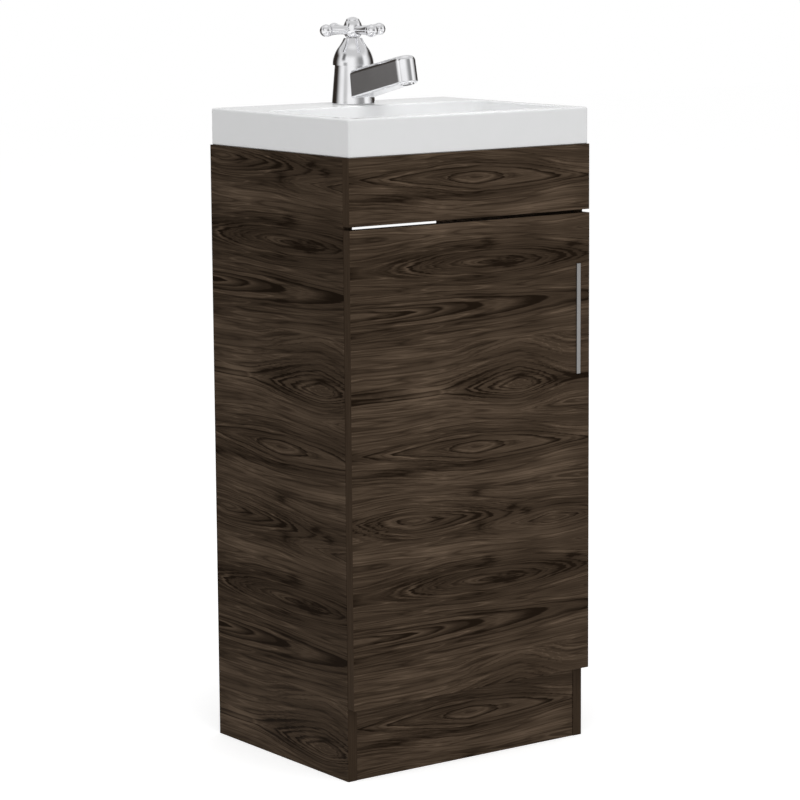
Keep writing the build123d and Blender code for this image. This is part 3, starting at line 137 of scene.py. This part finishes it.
# Smudges and pale clouds: centre, half lengths along and up, strength (below zero is darker)
CLOUDS = (
    ((246.0, 247.0), (22.0, 5.0), -0.6),
    ((258.0, 243.0), (16.0, 4.0), -0.35),
    ((226.0, 276.0), (12.0, 7.0), -0.4),
    ((372.0, 264.0), (12.0, 3.0), -0.5),
    ((80.0, 262.0), (60.0, 6.0), -0.2),
    ((345.0, 512.0), (24.0, 5.0), -0.35),
    ((366.0, 507.0), (14.0, 3.5), -0.2),
    ((282.0, 524.0), (18.0, 5.0), -0.5),
    ((120.0, 513.0), (46.0, 9.0), 0.55),
    ((20.0, 522.0), (60.0, 5.0), -0.45),
    ((50.0, 500.0), (60.0, 7.0), 0.15),
    ((385.0, 432.0), (36.0, 7.0), 0.35),
    ((60.0, 412.0), (90.0, 6.0), -0.3),
    ((340.0, 408.0), (90.0, 9.0), 0.18),
    ((330.0, 474.0), (90.0, 8.0), -0.12),
    ((190.0, 443.0), (80.0, 9.0), -0.14),
    ((203.0, 370.0), (9.0, 4.0), -0.5),
    ((266.0, 345.0), (11.0, 5.0), -0.6),
    ((289.0, 336.0), (9.0, 6.0), -0.5),
    ((350.0, 338.0), (60.0, 8.0), -0.2),
    ((200.0, 300.0), (900.0, 9.0), 0.12),
    ((130.0, 270.0), (150.0, 13.0), -0.16),
    ((20.0, 246.0), (70.0, 8.0), -0.2),
    ((200.0, 222.0), (900.0, 7.0), -0.13),
    ((60.0, 156.0), (140.0, 10.0), -0.16),
    ((200.0, 249.0), (900.0, 16.0), -0.12),
    ((200.0, 412.0), (260.0, 6.0), -0.15),
    ((200.0, 388.0), (900.0, 9.0), 0.12),
    ((200.0, 480.0), (900.0, 12.0), 0.08),
)

# Pipe threads in millimetres: pitch and the height that the thread ends below
TAP_TAIL_THREAD = (1.814, 900.0)
WASTE_THREAD = (2.309, 792.0)
THREAD_FLANK = 0.9
METRES_PER_MM = 0.001

# Metals: colour, roughness, grain, swing of the roughness and depth of the grain in metres
CHROME_LOOK = ((238, 238, 240), 0.1, (1 / 14,) * 3, 0.04, 0.000002)
BRASS_LOOK = ((214, 178, 106), 0.26, (1 / 8, 1 / 8, 3.0), 0.1, 0.00006)

NOISE_MIDDLE = 0.5

# Plain colours
WALNUT_DARK = (34, 25, 17)
WALNUT_MIDDLE = (73, 60, 48)
WALNUT_LIGHT = (110, 93, 77)
EDGE_DARK = (52, 41, 31)
EDGE_LIGHT = (74, 61, 49)

# Laminate: the side panels carry painted shade, darkened in the material, as the photograph shows them
SIDE_PAINTED_SHADE = 0.83
LAMINATE_SPECULAR = 0.01
LAMINATE_ROUGHNESS = 0.4
LAMINATE_ROUGHNESS_SWING = 0.14
LAMINATE_RELIEF = 0.00012
BROAD_FACE = 0.6
EDGE_STREAK_WIDTH = 1.3
EDGE_STREAK_LENGTH = 90

# Laying of the tile: shifts in millimetres, and stretches on the side panels
FASCIA_SHIFT = -362.0
PLINTH_SHIFT = 370.0
FLAT_SHIFT = 380.0
RAIL_SHIFT = -150.0
SIDE_STRETCH_ALONG = 1.31
SIDE_STRETCH_UP = 1.125
SIDE_SHIFT = 78.3
SIDE_LEVEL = 433
SIDE_TILE_LEVEL = 434


def linear(rgb):
    """Colour with alpha from 0-255 display values."""
    parts = [value / 255 for value in rgb]
    return [p / 12.92 if p <= 0.04045 else ((p + 0.055) / 1.055) ** 2.4 for p in parts] + [1.0]


class Graph:
    """Short way to write a shader node tree."""

    def __init__(self, tree):
        self.tree = tree

    def node(self, kind, inputs=None, **settings):
        made = self.tree.nodes.new(kind)
        for name, value in settings.items():
            setattr(made, name, value)
        for key, value in (inputs or {}).items():
            self.put(made.inputs[key], value)
        return made

    def put(self, socket, value):
        if isinstance(value, bpy.types.NodeSocket):
            self.tree.links.new(value, socket)
        elif value is not None:
            socket.default_value = value

    def math(self, operation, *values, clamp=False):
        made = self.node("ShaderNodeMath", operation=operation, use_clamp=clamp)
        for socket, value in zip(made.inputs, values):
            self.put(socket, value)
        return made.outputs[0]

    def add(self, *values):
        total = values[0]
        for value in values[1:]:
            total = self.math("ADD", total, value)
        return total

    def times(self, a, b):
        return self.math("MULTIPLY", a, b)

    def point(self, x, y, z=0.0):
        return self.node("ShaderNodeCombineXYZ", {"X": x, "Y": y, "Z": z}).outputs[0]

    def split(self, vector):
        return self.node("ShaderNodeSeparateXYZ", {0: vector}).outputs

    def noise(self, vector, detail=2.0, roughness=0.5, scale=1.0):
        inputs = {"Vector": vector, "Scale": scale, "Detail": detail, "Roughness": roughness}
        return self.node("ShaderNodeTexNoise", inputs).outputs[0]

    def grain(self, name, along, across):
        """One noise of the grain."""
        length, width, seed, detail, roughness = GRAIN[name]
        place = self.point(self.times(along, 1 / length), self.times(across, 1 / width), seed)
        return self.noise(place, detail, roughness)

    def push(self, name, along, across, amount):
        """One noise of the grain about zero, with a swing of about the amount."""
        about_zero = self.math("SUBTRACT", self.grain(name, along, across), NOISE_MIDDLE)
        return self.times(about_zero, 2 * amount)

    def ramp(self, factor, stops):
        made = self.node("ShaderNodeValToRGB", {"Fac": factor})
        elements = made.color_ramp.elements
        while len(elements) < len(stops):
            elements.new(1.0)
        for element, (place, colour) in zip(elements, stops):
            element.position = place
            element.color = colour if isinstance(colour, list) else [colour, colour, colour, 1.0]
        return made.outputs[0]

    def mix(self, factor, a, b):
        made = self.node("ShaderNodeMix", data_type="RGBA")
        for index, value in ((0, factor), (6, a), (7, b)):
            self.put(made.inputs[index], value)
        return made.outputs[2]

    def bump(self, height, distance, strength=1.0):
        inputs = {"Height": height, "Distance": distance, "Strength": strength}
        return self.node("ShaderNodeBump", inputs).outputs[0]


def new_material(name):
    """Empty material with its Principled shader and graph."""
    material = bpy.data.materials.new(name)
    material.use_nodes = True
    shader = material.node_tree.nodes["Principled BSDF"]
    return material, shader, Graph(material.node_tree)


def object_mm(graph):
    """Place on the object in millimetres."""
    place = graph.node("ShaderNodeTexCoord").outputs["Object"]
    return graph.node("ShaderNodeVectorMath", {0: place, 1: (1000.0,) * 3}, operation="MULTIPLY").outputs[0]


def ring_tone(graph, figure, u, v):
    """Depth of the rings round one figure and the distance from its core."""
    (centre_u, centre_v), tilt, (left, right), (above, below), norm, rings = figure
    du = graph.math("SUBTRACT", u, centre_u)
    offset = graph.math("SUBTRACT", graph.math("SUBTRACT", v, centre_v), graph.times(du, tilt))
    upper = graph.times(graph.math("MAXIMUM", offset, 0.0), above)
    dv = graph.add(upper, graph.times(graph.math("MINIMUM", offset, 0.0), -below))
    rightward = graph.times(graph.math("MAXIMUM", du, 0.0), right)
    leftward = graph.times(graph.math("MINIMUM", du, 0.0), -left)
    along = graph.math("SMOOTH_MIN", graph.add(rightward, leftward), FIGURE_HEIGHT, RING_BLEND)
    powers = graph.add(graph.math("POWER", along, norm), graph.math("POWER", dv, norm))
    radius = graph.math("POWER", powers, 1 / norm)
    tip = graph.math("DIVIDE", along, graph.add(radius, 0.1))
    share = graph.add(FLANK_SHARE, graph.times(graph.math("MULTIPLY", tip, tip), 1 - FLANK_SHARE))
    stops = []
    for inner, outer, depth in rings:
        stops += [(inner / RING_REACH, 0.0), (outer / RING_REACH, depth)]
        stops.append(((outer + RING_EDGE) / RING_REACH, 0.0))
    tone = graph.ramp(graph.math("DIVIDE", radius, RING_REACH), stops)
    return graph.times(tone, share), radius


def cloud_tone(graph, cloud, u, v):
    """Soft patch of darker or paler wood."""
    (centre_u, centre_v), (along, up), strength = cloud
    du = graph.math("DIVIDE", graph.math("SUBTRACT", u, centre_u), along)
    dv = graph.math("DIVIDE", graph.math("SUBTRACT", v, centre_v), up)
    square = graph.add(graph.times(du, du), graph.times(dv, dv))
    return graph.times(graph.math("EXPONENT", graph.times(square, -1.0)), strength)


def walnut_group():
    """Walnut laminate drawn from place along and up the tile, in millimetres."""
    group = bpy.data.node_groups.new("walnut_tile", "ShaderNodeTree")
    for name in ("Along", "Up"):
        group.interface.new_socket(name, in_out="INPUT", socket_type="NodeSocketFloat")
    for name, kind in (("Colour", "Color"), ("Roughness", "Float"), ("Height", "Float")):
        group.interface.new_socket(name, in_out="OUTPUT", socket_type=f"NodeSocket{kind}")
    graph = Graph(group)
    given = graph.node("NodeGroupInput").outputs
    u = given["Along"]
    v = graph.math("WRAP", given["Up"], TILE_SEAM, TILE_SEAM - TILE_HEIGHT)
    warped_v = graph.add(v, graph.push("sway", u, v, SWAY), graph.push("rough", u, v, ROUGH))
    warped_u = graph.add(u, graph.push("drift", u, v, DRIFT))
    cloud_u = graph.add(u, graph.push("ragged", u, v, RAGGED))
    cloud_v = graph.add(warped_v, graph.push("fray", u, v, FRAY))
    rings = []
    nearest = None
    for figure in FIGURES.values():
        tone, radius = ring_tone(graph, figure, warped_u, warped_v)
        rings.append(tone)
        nearest = radius if nearest is None else graph.math("SMOOTH_MIN", nearest, radius, FIGURE_BLEND)
    ring_depth = graph.add(*rings)
    lines = graph.grain("lines", u, nearest)
    bands = graph.grain("bands", u, nearest)
    fibre = graph.grain("fibre", u, warped_v)
    blotch = graph.grain("blotch", u, v)
    vein_field = graph.grain("veins", u, nearest)
    vein_gap = graph.math("ABSOLUTE", graph.math("SUBTRACT", vein_field, NOISE_MIDDLE))
    veins = graph.math("MULTIPLY_ADD", vein_gap, -VEIN_SHARPNESS, 1.0, clamp=True)
    hair_gap = graph.math("ABSOLUTE", graph.math("SUBTRACT", vein_field, HAIR_LEVEL))
    hairs = graph.math("MULTIPLY_ADD", hair_gap, -HAIR_SHARPNESS, 1.0, clamp=True)
    tone = graph.add(
        BASE_TONE,
        graph.times(ring_depth, RING_WEIGHT),
        graph.times(veins, VEIN_WEIGHT),
        graph.times(hairs, HAIR_WEIGHT),
        graph.times(graph.math("SUBTRACT", lines, NOISE_MIDDLE), LINE_WEIGHT),
        graph.times(graph.math("SUBTRACT", bands, NOISE_MIDDLE), BAND_WEIGHT),
        graph.times(graph.math("SUBTRACT", fibre, NOISE_MIDDLE), FIBRE_WEIGHT),
        graph.times(graph.math("SUBTRACT", blotch, NOISE_MIDDLE), BLOTCH_WEIGHT),
        *[cloud_tone(graph, cloud, cloud_u, cloud_v) for cloud in CLOUDS],
    )
    colour = graph.ramp(tone, [
        (0.0, linear(WALNUT_DARK)), (0.5, linear(WALNUT_MIDDLE)), (1.0, linear(WALNUT_LIGHT)),
    ])
    out = graph.node("NodeGroupOutput").inputs
    graph.put(out["Colour"], colour)
    graph.put(out["Roughness"], graph.add(LAMINATE_ROUGHNESS, graph.times(fibre, LAMINATE_ROUGHNESS_SWING)))
    graph.put(out["Height"], fibre)
    return group


def board_material(name, face, along, up, edge_run, painted_shade=1.0):
    """Laminate on one board: face is the axis of its broad faces, along and up are
    (axis, factor, shift) into the tile, edge_run is the axis its edge bands follow, and the last
    value is painted shade, which darkens the broad faces."""
    material, shader, graph = new_material(name)
    place = graph.split(object_mm(graph))
    facing = graph.split(graph.node("ShaderNodeTexCoord").outputs["Normal"])
    broad = graph.math("GREATER_THAN", graph.math("ABSOLUTE", facing[face]), BROAD_FACE)
    coordinates = {}
    for label, (axis, factor, shift) in (("Along", along), ("Up", up)):
        coordinates[label] = graph.math("MULTIPLY_ADD", place[axis], factor, shift)
    tile = graph.node("ShaderNodeGroup", node_tree=walnut)
    for label, value in coordinates.items():
        graph.put(tile.inputs[label], value)
    scales = [1 / EDGE_STREAK_WIDTH] * 3
    scales[edge_run] = 1 / EDGE_STREAK_LENGTH
    streak_place = graph.point(*[graph.times(place[axis], scales[axis]) for axis in range(3)])
    streaks = graph.noise(streak_place, 3.0, 0.6)
    edge_colour = graph.ramp(streaks, [(0.25, linear(EDGE_DARK)), (0.75, linear(EDGE_LIGHT))])
    # Painted shade: the broad faces are darkened by the shade value, which is below 1 on the side panels
    inputs = {"Color": tile.outputs["Colour"], "Value": painted_shade}
    with_painted_shade = graph.node("ShaderNodeHueSaturation", inputs).outputs[0]
    graph.put(shader.inputs["Base Color"], graph.mix(broad, edge_colour, with_painted_shade))
    graph.put(shader.inputs["Roughness"], tile.outputs["Roughness"])
    graph.put(shader.inputs["Normal"], graph.bump(tile.outputs["Height"], LAMINATE_RELIEF, 0.5))
    shader.inputs["Specular IOR Level"].default_value = LAMINATE_SPECULAR
    return material


def glaze_material():
    """White glaze with a faint ripple and slightly uneven gloss."""
    material, shader, graph = new_material("white_glaze_surface")
    place = object_mm(graph)
    ripple = graph.noise(place, 2.0, 0.4, 1 / 26)
    fine = graph.noise(place, 2.0, 0.5, 1 / 3)
    colour = graph.mix(ripple, linear((250, 250, 251)), linear((247, 248, 248)))
    graph.put(shader.inputs["Base Color"], colour)
    graph.put(shader.inputs["Roughness"], graph.add(0.16, graph.times(fine, 0.08)))
    graph.put(shader.inputs["Normal"], graph.bump(ripple, 0.0006, 0.15))
    shader.inputs["Specular IOR Level"].default_value = 0.35
    return material


def metal_material(name, colour, roughness, grain=(1 / 12,) * 3, swing=0.06, depth=0.00002, thread=None):
    """Plated or machined metal whose gloss varies along a grain direction. A thread is its pitch and
    the height that it ends below, in millimetres."""
    material, shader, graph = new_material(name)
    stretched = graph.node(
        "ShaderNodeVectorMath", {0: object_mm(graph), 1: grain}, operation="MULTIPLY"
    ).outputs[0]
    fine = graph.noise(stretched, 4.0, 0.6)
    cloudy = graph.noise(object_mm(graph), 2.0, 0.5, 1 / 30)
    pale = [min(255, round(value * 1.05)) for value in colour]
    deep = [round(value * 0.95) for value in colour]
    graph.put(shader.inputs["Base Color"], graph.mix(cloudy, linear(deep), linear(pale)))
    graph.put(shader.inputs["Roughness"], graph.add(roughness - swing / 2, graph.times(fine, swing)))
    height = graph.times(fine, depth)
    if thread:
        pitch, top = thread
        level = graph.split(object_mm(graph))[2]
        flank = graph.times(graph.math("PINGPONG", level, pitch / 2), METRES_PER_MM * THREAD_FLANK)
        height = graph.add(height, graph.times(flank, graph.math("LESS_THAN", level, top)))
    graph.put(shader.inputs["Normal"], graph.bump(height, 1.0, 0.4))
    shader.inputs["Metallic"].default_value = 1.0
    return material


def moulded_material(name, dark, pale, roughness, size, depth):
    """Rubber or ceramic with a fine cast texture."""
    material, shader, graph = new_material(name)
    place = object_mm(graph)
    fine = graph.noise(place, 4.0, 0.6, 1 / size)
    broad = graph.noise(place, 2.0, 0.5, 1 / 20)
    graph.put(shader.inputs["Base Color"], graph.mix(broad, linear(dark), linear(pale)))
    graph.put(shader.inputs["Roughness"], graph.add(roughness, graph.times(fine, 0.1)))
    graph.put(shader.inputs["Normal"], graph.bump(fine, depth, 0.5))
    return material


def beech_material():
    """Beech pegs with fine grain and flecks along their length."""
    material, shader, graph = new_material("beech_grain")
    place = graph.split(object_mm(graph))
    across = [graph.times(place[axis], 2.0) for axis in (1, 2)]
    stretched = graph.point(graph.times(place[0], 1 / 18), *across)
    grain = graph.noise(stretched, 4.0, 0.7)
    colour = graph.mix(grain, linear((176, 132, 92)), linear((214, 176, 132)))
    graph.put(shader.inputs["Base Color"], colour)
    graph.put(shader.inputs["Roughness"], graph.add(0.5, graph.times(grain, 0.2)))
    graph.put(shader.inputs["Normal"], graph.bump(grain, 0.0001, 0.5))
    return material


def dress(node, material):
    """Give a carried-over CAD node its detailed material."""
    for slot in nodes[node].material_slots:
        slot.material = material


def dress_boards():
    """Laminate every board, with the tile placed as on the real faces."""
    x, y, z = 0, 1, 2
    front_run = (x, 1.0, DOOR_HALF)
    side_run = (y, -1 / SIDE_STRETCH_ALONG, BACK_FACE / SIDE_STRETCH_ALONG + SIDE_SHIFT)
    side_up = (z, 1 / SIDE_STRETCH_UP, SIDE_TILE_LEVEL - SIDE_LEVEL / SIDE_STRETCH_UP)
    dress("door_panel", board_material("walnut_door", y, front_run, (z, 1.0, 0.0), z))
    dress("front_fascia", board_material("walnut_fascia", y, front_run, (z, 1.0, FASCIA_SHIFT), z))
    dress("toe_kick_board", board_material("walnut_plinth", y, front_run, (z, 1.0, PLINTH_SHIFT), x))
    # The side panels get painted shade, a darker shaded copy of the front laminate
    side = board_material("walnut_side", x, side_run, side_up, z, SIDE_PAINTED_SHADE)
    dress("left_side_panel", side)
    dress("right_side_panel", side)
    flat = board_material("walnut_flat", z, front_run, (y, 1.0, FLAT_SHIFT), x)
    dress("bottom_panel", flat)
    dress("shelf", flat)
    rail = board_material("walnut_rail", y, front_run, (z, 1.0, RAIL_SHIFT), x)
    dress("upper_back_rail", rail)
    dress("lower_back_rail", rail)


def dress_fittings():
    """Glaze, metals, rubber and ceramic."""
    glaze = glaze_material()
    chrome = metal_material("polished_chrome", *CHROME_LOOK)
    strip = metal_material("brushed_strip", (141, 140, 139), 0.34, (6.0, 6.0, 1 / 40), 0.12, 0.00003)
    nickel = metal_material("nickel_plate", (206, 203, 196), 0.28, (1 / 2, 1 / 30, 1 / 2), 0.12)
    zinc = metal_material("zinc_plate", (200, 201, 198), 0.34, (1 / 3,) * 3, 0.16, 0.00004)
    brass = metal_material("machined_brass", *BRASS_LOOK)
    rubber = moulded_material("black_rubber_skin", (22, 22, 23), (34, 34, 35), 0.62, 0.8, 0.00008)
    pale_rubber = moulded_material(
        "white_rubber_skin", (214, 214, 212), (226, 226, 225), 0.55, 0.8, 0.00006
    )
    ceramic = moulded_material("lapped_ceramic", (228, 227, 222), (238, 237, 233), 0.2, 0.5, 0.00001)
    by_slot = {
        "beech": beech_material(), "zinc_fasteners": zinc, "zinc_bracket": zinc,
        "nickel_hinge": nickel, "satin_strip": strip, "white_glaze": glaze, "chrome": chrome,
        "black_rubber": rubber, "white_rubber": pale_rubber, "brass": brass, "white_ceramic": ceramic,
    }
    for part in frame["record"]["subparts"]:
        if part["material_slot"] in by_slot:
            dress(part["node"], by_slot[part["material_slot"]])
    dress("valve_spindle", chrome)
    dress("tap_shank", metal_material("threaded_brass", *BRASS_LOOK, thread=TAP_TAIL_THREAD))
    dress("basin_waste", metal_material("threaded_chrome", *CHROME_LOOK, thread=WASTE_THREAD))


def seen_ray(graph):
    """1 for rays from the camera, a gloss or a see-through surface."""
    rays = graph.node("ShaderNodeLightPath").outputs
    either = graph.math("MAXIMUM", rays["Is Camera Ray"], rays["Is Glossy Ray"])
    return graph.math("MAXIMUM", either, rays["Is Transmission Ray"])


def make_world():
    """White surroundings with a grey ceiling to look at, plain light to be lit by."""
    world = bpy.data.worlds.new("studio")
    bpy.context.scene.world = world
    world.use_nodes = True
    graph = Graph(world.node_tree)
    world.node_tree.nodes.clear()
    lit = graph.node("ShaderNodeBackground", {"Color": (1, 1, 1, 1), "Strength": WORLD_LIGHT}).outputs[0]
    direction = graph.split(graph.node("ShaderNodeTexCoord").outputs["Generated"])
    sky = graph.ramp(direction[2], [(0.4, 1.0), (0.62, CEILING_TONE), (0.85, CEILING_TONE), (0.97, 0.92)])
    shown = graph.node("ShaderNodeBackground", {"Color": sky, "Strength": 1.0}).outputs[0]
    mixed = graph.node("ShaderNodeMixShader", {0: seen_ray(graph), 1: lit, 2: shown}).outputs[0]
    graph.node("ShaderNodeOutputWorld", {"Surface": mixed})


def plane_object(name, corners, material):
    """Flat four-cornered stage piece."""
    mesh = bpy.data.meshes.new(name)
    mesh.from_pydata(corners, [], [(0, 1, 2, 3)])
    made = bpy.data.objects.new(name, mesh)
    bpy.context.collection.objects.link(made)
    made.data.materials.append(material)
    return made


def make_floor():
    """Pale floor that keeps the shadow and is white to the camera."""
    material, shader, graph = new_material("pale_floor")
    material.node_tree.nodes.remove(shader)
    diffuse = graph.node("ShaderNodeBsdfDiffuse", {"Color": (0.9, 0.9, 0.9, 1)}).outputs[0]
    seen_glow = graph.times(seen_ray(graph), FLOOR_GLOW)
    glow = graph.node("ShaderNodeEmission", {"Color": (1, 1, 1, 1), "Strength": seen_glow})
    both = graph.node("ShaderNodeAddShader", {0: diffuse, 1: glow.outputs[0]}).outputs[0]
    output = material.node_tree.nodes["Material Output"]
    graph.put(output.inputs["Surface"], both)
    corners = [(x * FLOOR_REACH, y * FLOOR_REACH, 0) for x, y in ((-1, -1), (1, -1), (1, 1), (-1, 1))]
    plane_object("floor", corners, material)


def soft_step(value, start, end):
    """0 before start, 1 after end, smooth between."""
    share = min(1.0, max(0.0, (value - start) / (end - start)))
    return share * share * (3 - 2 * share)


def fade(value, stops):
    """1 between the middle two of four stops, 0 outside the outer two."""
    return soft_step(value, stops[0], stops[1]) * (1 - soft_step(value, stops[2], stops[3]))


def make_card(name, sides, heights, tone, strength=1.0, lying=False):
    """Studio card seen only in gloss. Sides are degrees round from the camera's place: where it
    starts to show, is full, is still full and ends; heights are the same in metres, or metres out
    along the floor if the card is lying."""
    material, shader, graph = new_material(name + "_card")
    material.node_tree.nodes.remove(shader)
    show = graph.node("ShaderNodeAttribute", attribute_name="show").outputs["Fac"]
    glow = graph.node("ShaderNodeEmission", {"Color": linear(tone), "Strength": 1.0}).outputs[0]
    clear = graph.node("ShaderNodeBsdfTransparent").outputs[0]
    mixed = graph.node("ShaderNodeMixShader", {0: show, 1: clear, 2: glow}).outputs[0]
    graph.put(material.node_tree.nodes["Material Output"].inputs["Surface"], mixed)
    across, upward = 48, 16
    points, shares = [], []
    for column in range(across + 1):
        turn = sides[0] + (sides[3] - sides[0]) * column / across
        angle = math.radians(turn) + CAMERA_SIDE
        for row in range(upward + 1):
            height = heights[0] + (heights[3] - heights[0]) * row / upward
            reach, lift = (height, CARD_LIFT) if lying else (CARD_DISTANCE, height)
            points.append((reach * math.cos(angle), reach * math.sin(angle), lift))
            shares.append(strength * fade(turn, sides) * fade(height, heights))
    faces = []
    for column in range(across):
        for row in range(upward):
            low = column * (upward + 1) + row
            faces.append((low, low + upward + 1, low + upward + 2, low + 1))
    mesh = bpy.data.meshes.new(name)
    mesh.from_pydata(points, [], faces)
    mesh.attributes.new("show", "FLOAT", "POINT").data.foreach_set("value", shares)
    mesh.materials.append(material)
    card = bpy.data.objects.new(name, mesh)
    bpy.context.collection.objects.link(card)
    card.visible_camera = False
    card.visible_diffuse = False
    card.visible_shadow = False
    card.visible_transmission = False


def make_lamp(name, place, size, power):
    """Soft square lamp aimed at the middle of the object."""
    data = bpy.data.lights.new(name, "AREA")
    data.size = size
    data.energy = power
    lamp = bpy.data.objects.new(name, data)
    bpy.context.collection.objects.link(lamp)
    lamp.location = place
    lamp.visible_glossy = False
    aim = Vector((0, 0, 0.55)) - Vector(place)
    lamp.rotation_euler = aim.to_track_quat("-Z", "Y").to_euler()


def make_bowl_lamp():
    """Narrow soft spot straight down into the bowl."""
    data = bpy.data.lights.new("bowl_lamp", "SPOT")
    data.energy = BOWL_POWER
    data.spot_size = math.radians(BOWL_LAMP_CONE)
    data.spot_blend = 1.0
    data.shadow_soft_size = 0.1
    lamp = bpy.data.objects.new("bowl_lamp", data)
    bpy.context.collection.objects.link(lamp)
    lamp.location = BOWL_LAMP_PLACE
    lamp.visible_glossy = False


def make_camera():
    """Camera at the photograph's place."""
    data = bpy.data.cameras.new("photo_camera")
    data.lens = CAMERA_LENS
    data.sensor_width = CAMERA_SENSOR
    data.sensor_fit = "HORIZONTAL"
    data.clip_end = 100.0
    camera = bpy.data.objects.new("photo_camera", data)
    bpy.context.collection.objects.link(camera)
    level = math.cos(CAMERA_PITCH)
    forward = Vector((math.sin(CAMERA_YAW) * level, math.cos(CAMERA_YAW) * level, -math.sin(CAMERA_PITCH)))
    right = Vector((math.cos(CAMERA_YAW), -math.sin(CAMERA_YAW), 0))
    up = right.cross(forward)
    rolled_right = right * math.cos(CAMERA_ROLL) + up * math.sin(CAMERA_ROLL)
    rolled_up = up * math.cos(CAMERA_ROLL) - right * math.sin(CAMERA_ROLL)
    turn = Matrix((rolled_right, rolled_up, -forward)).transposed()
    camera.matrix_world = Matrix.Translation(CAMERA_PLACE) @ turn.to_4x4()
    bpy.context.scene.camera = camera


walnut = walnut_group()
dress_boards()
dress_fittings()
make_world()
make_floor()
for card_name, card in CARDS.items():
    make_card(card_name, *card)
make_lamp("key_lamp", KEY_PLACE, KEY_SIZE, KEY_POWER)
make_bowl_lamp()
make_camera()
bpy.context.scene.view_settings.view_transform = "Standard"
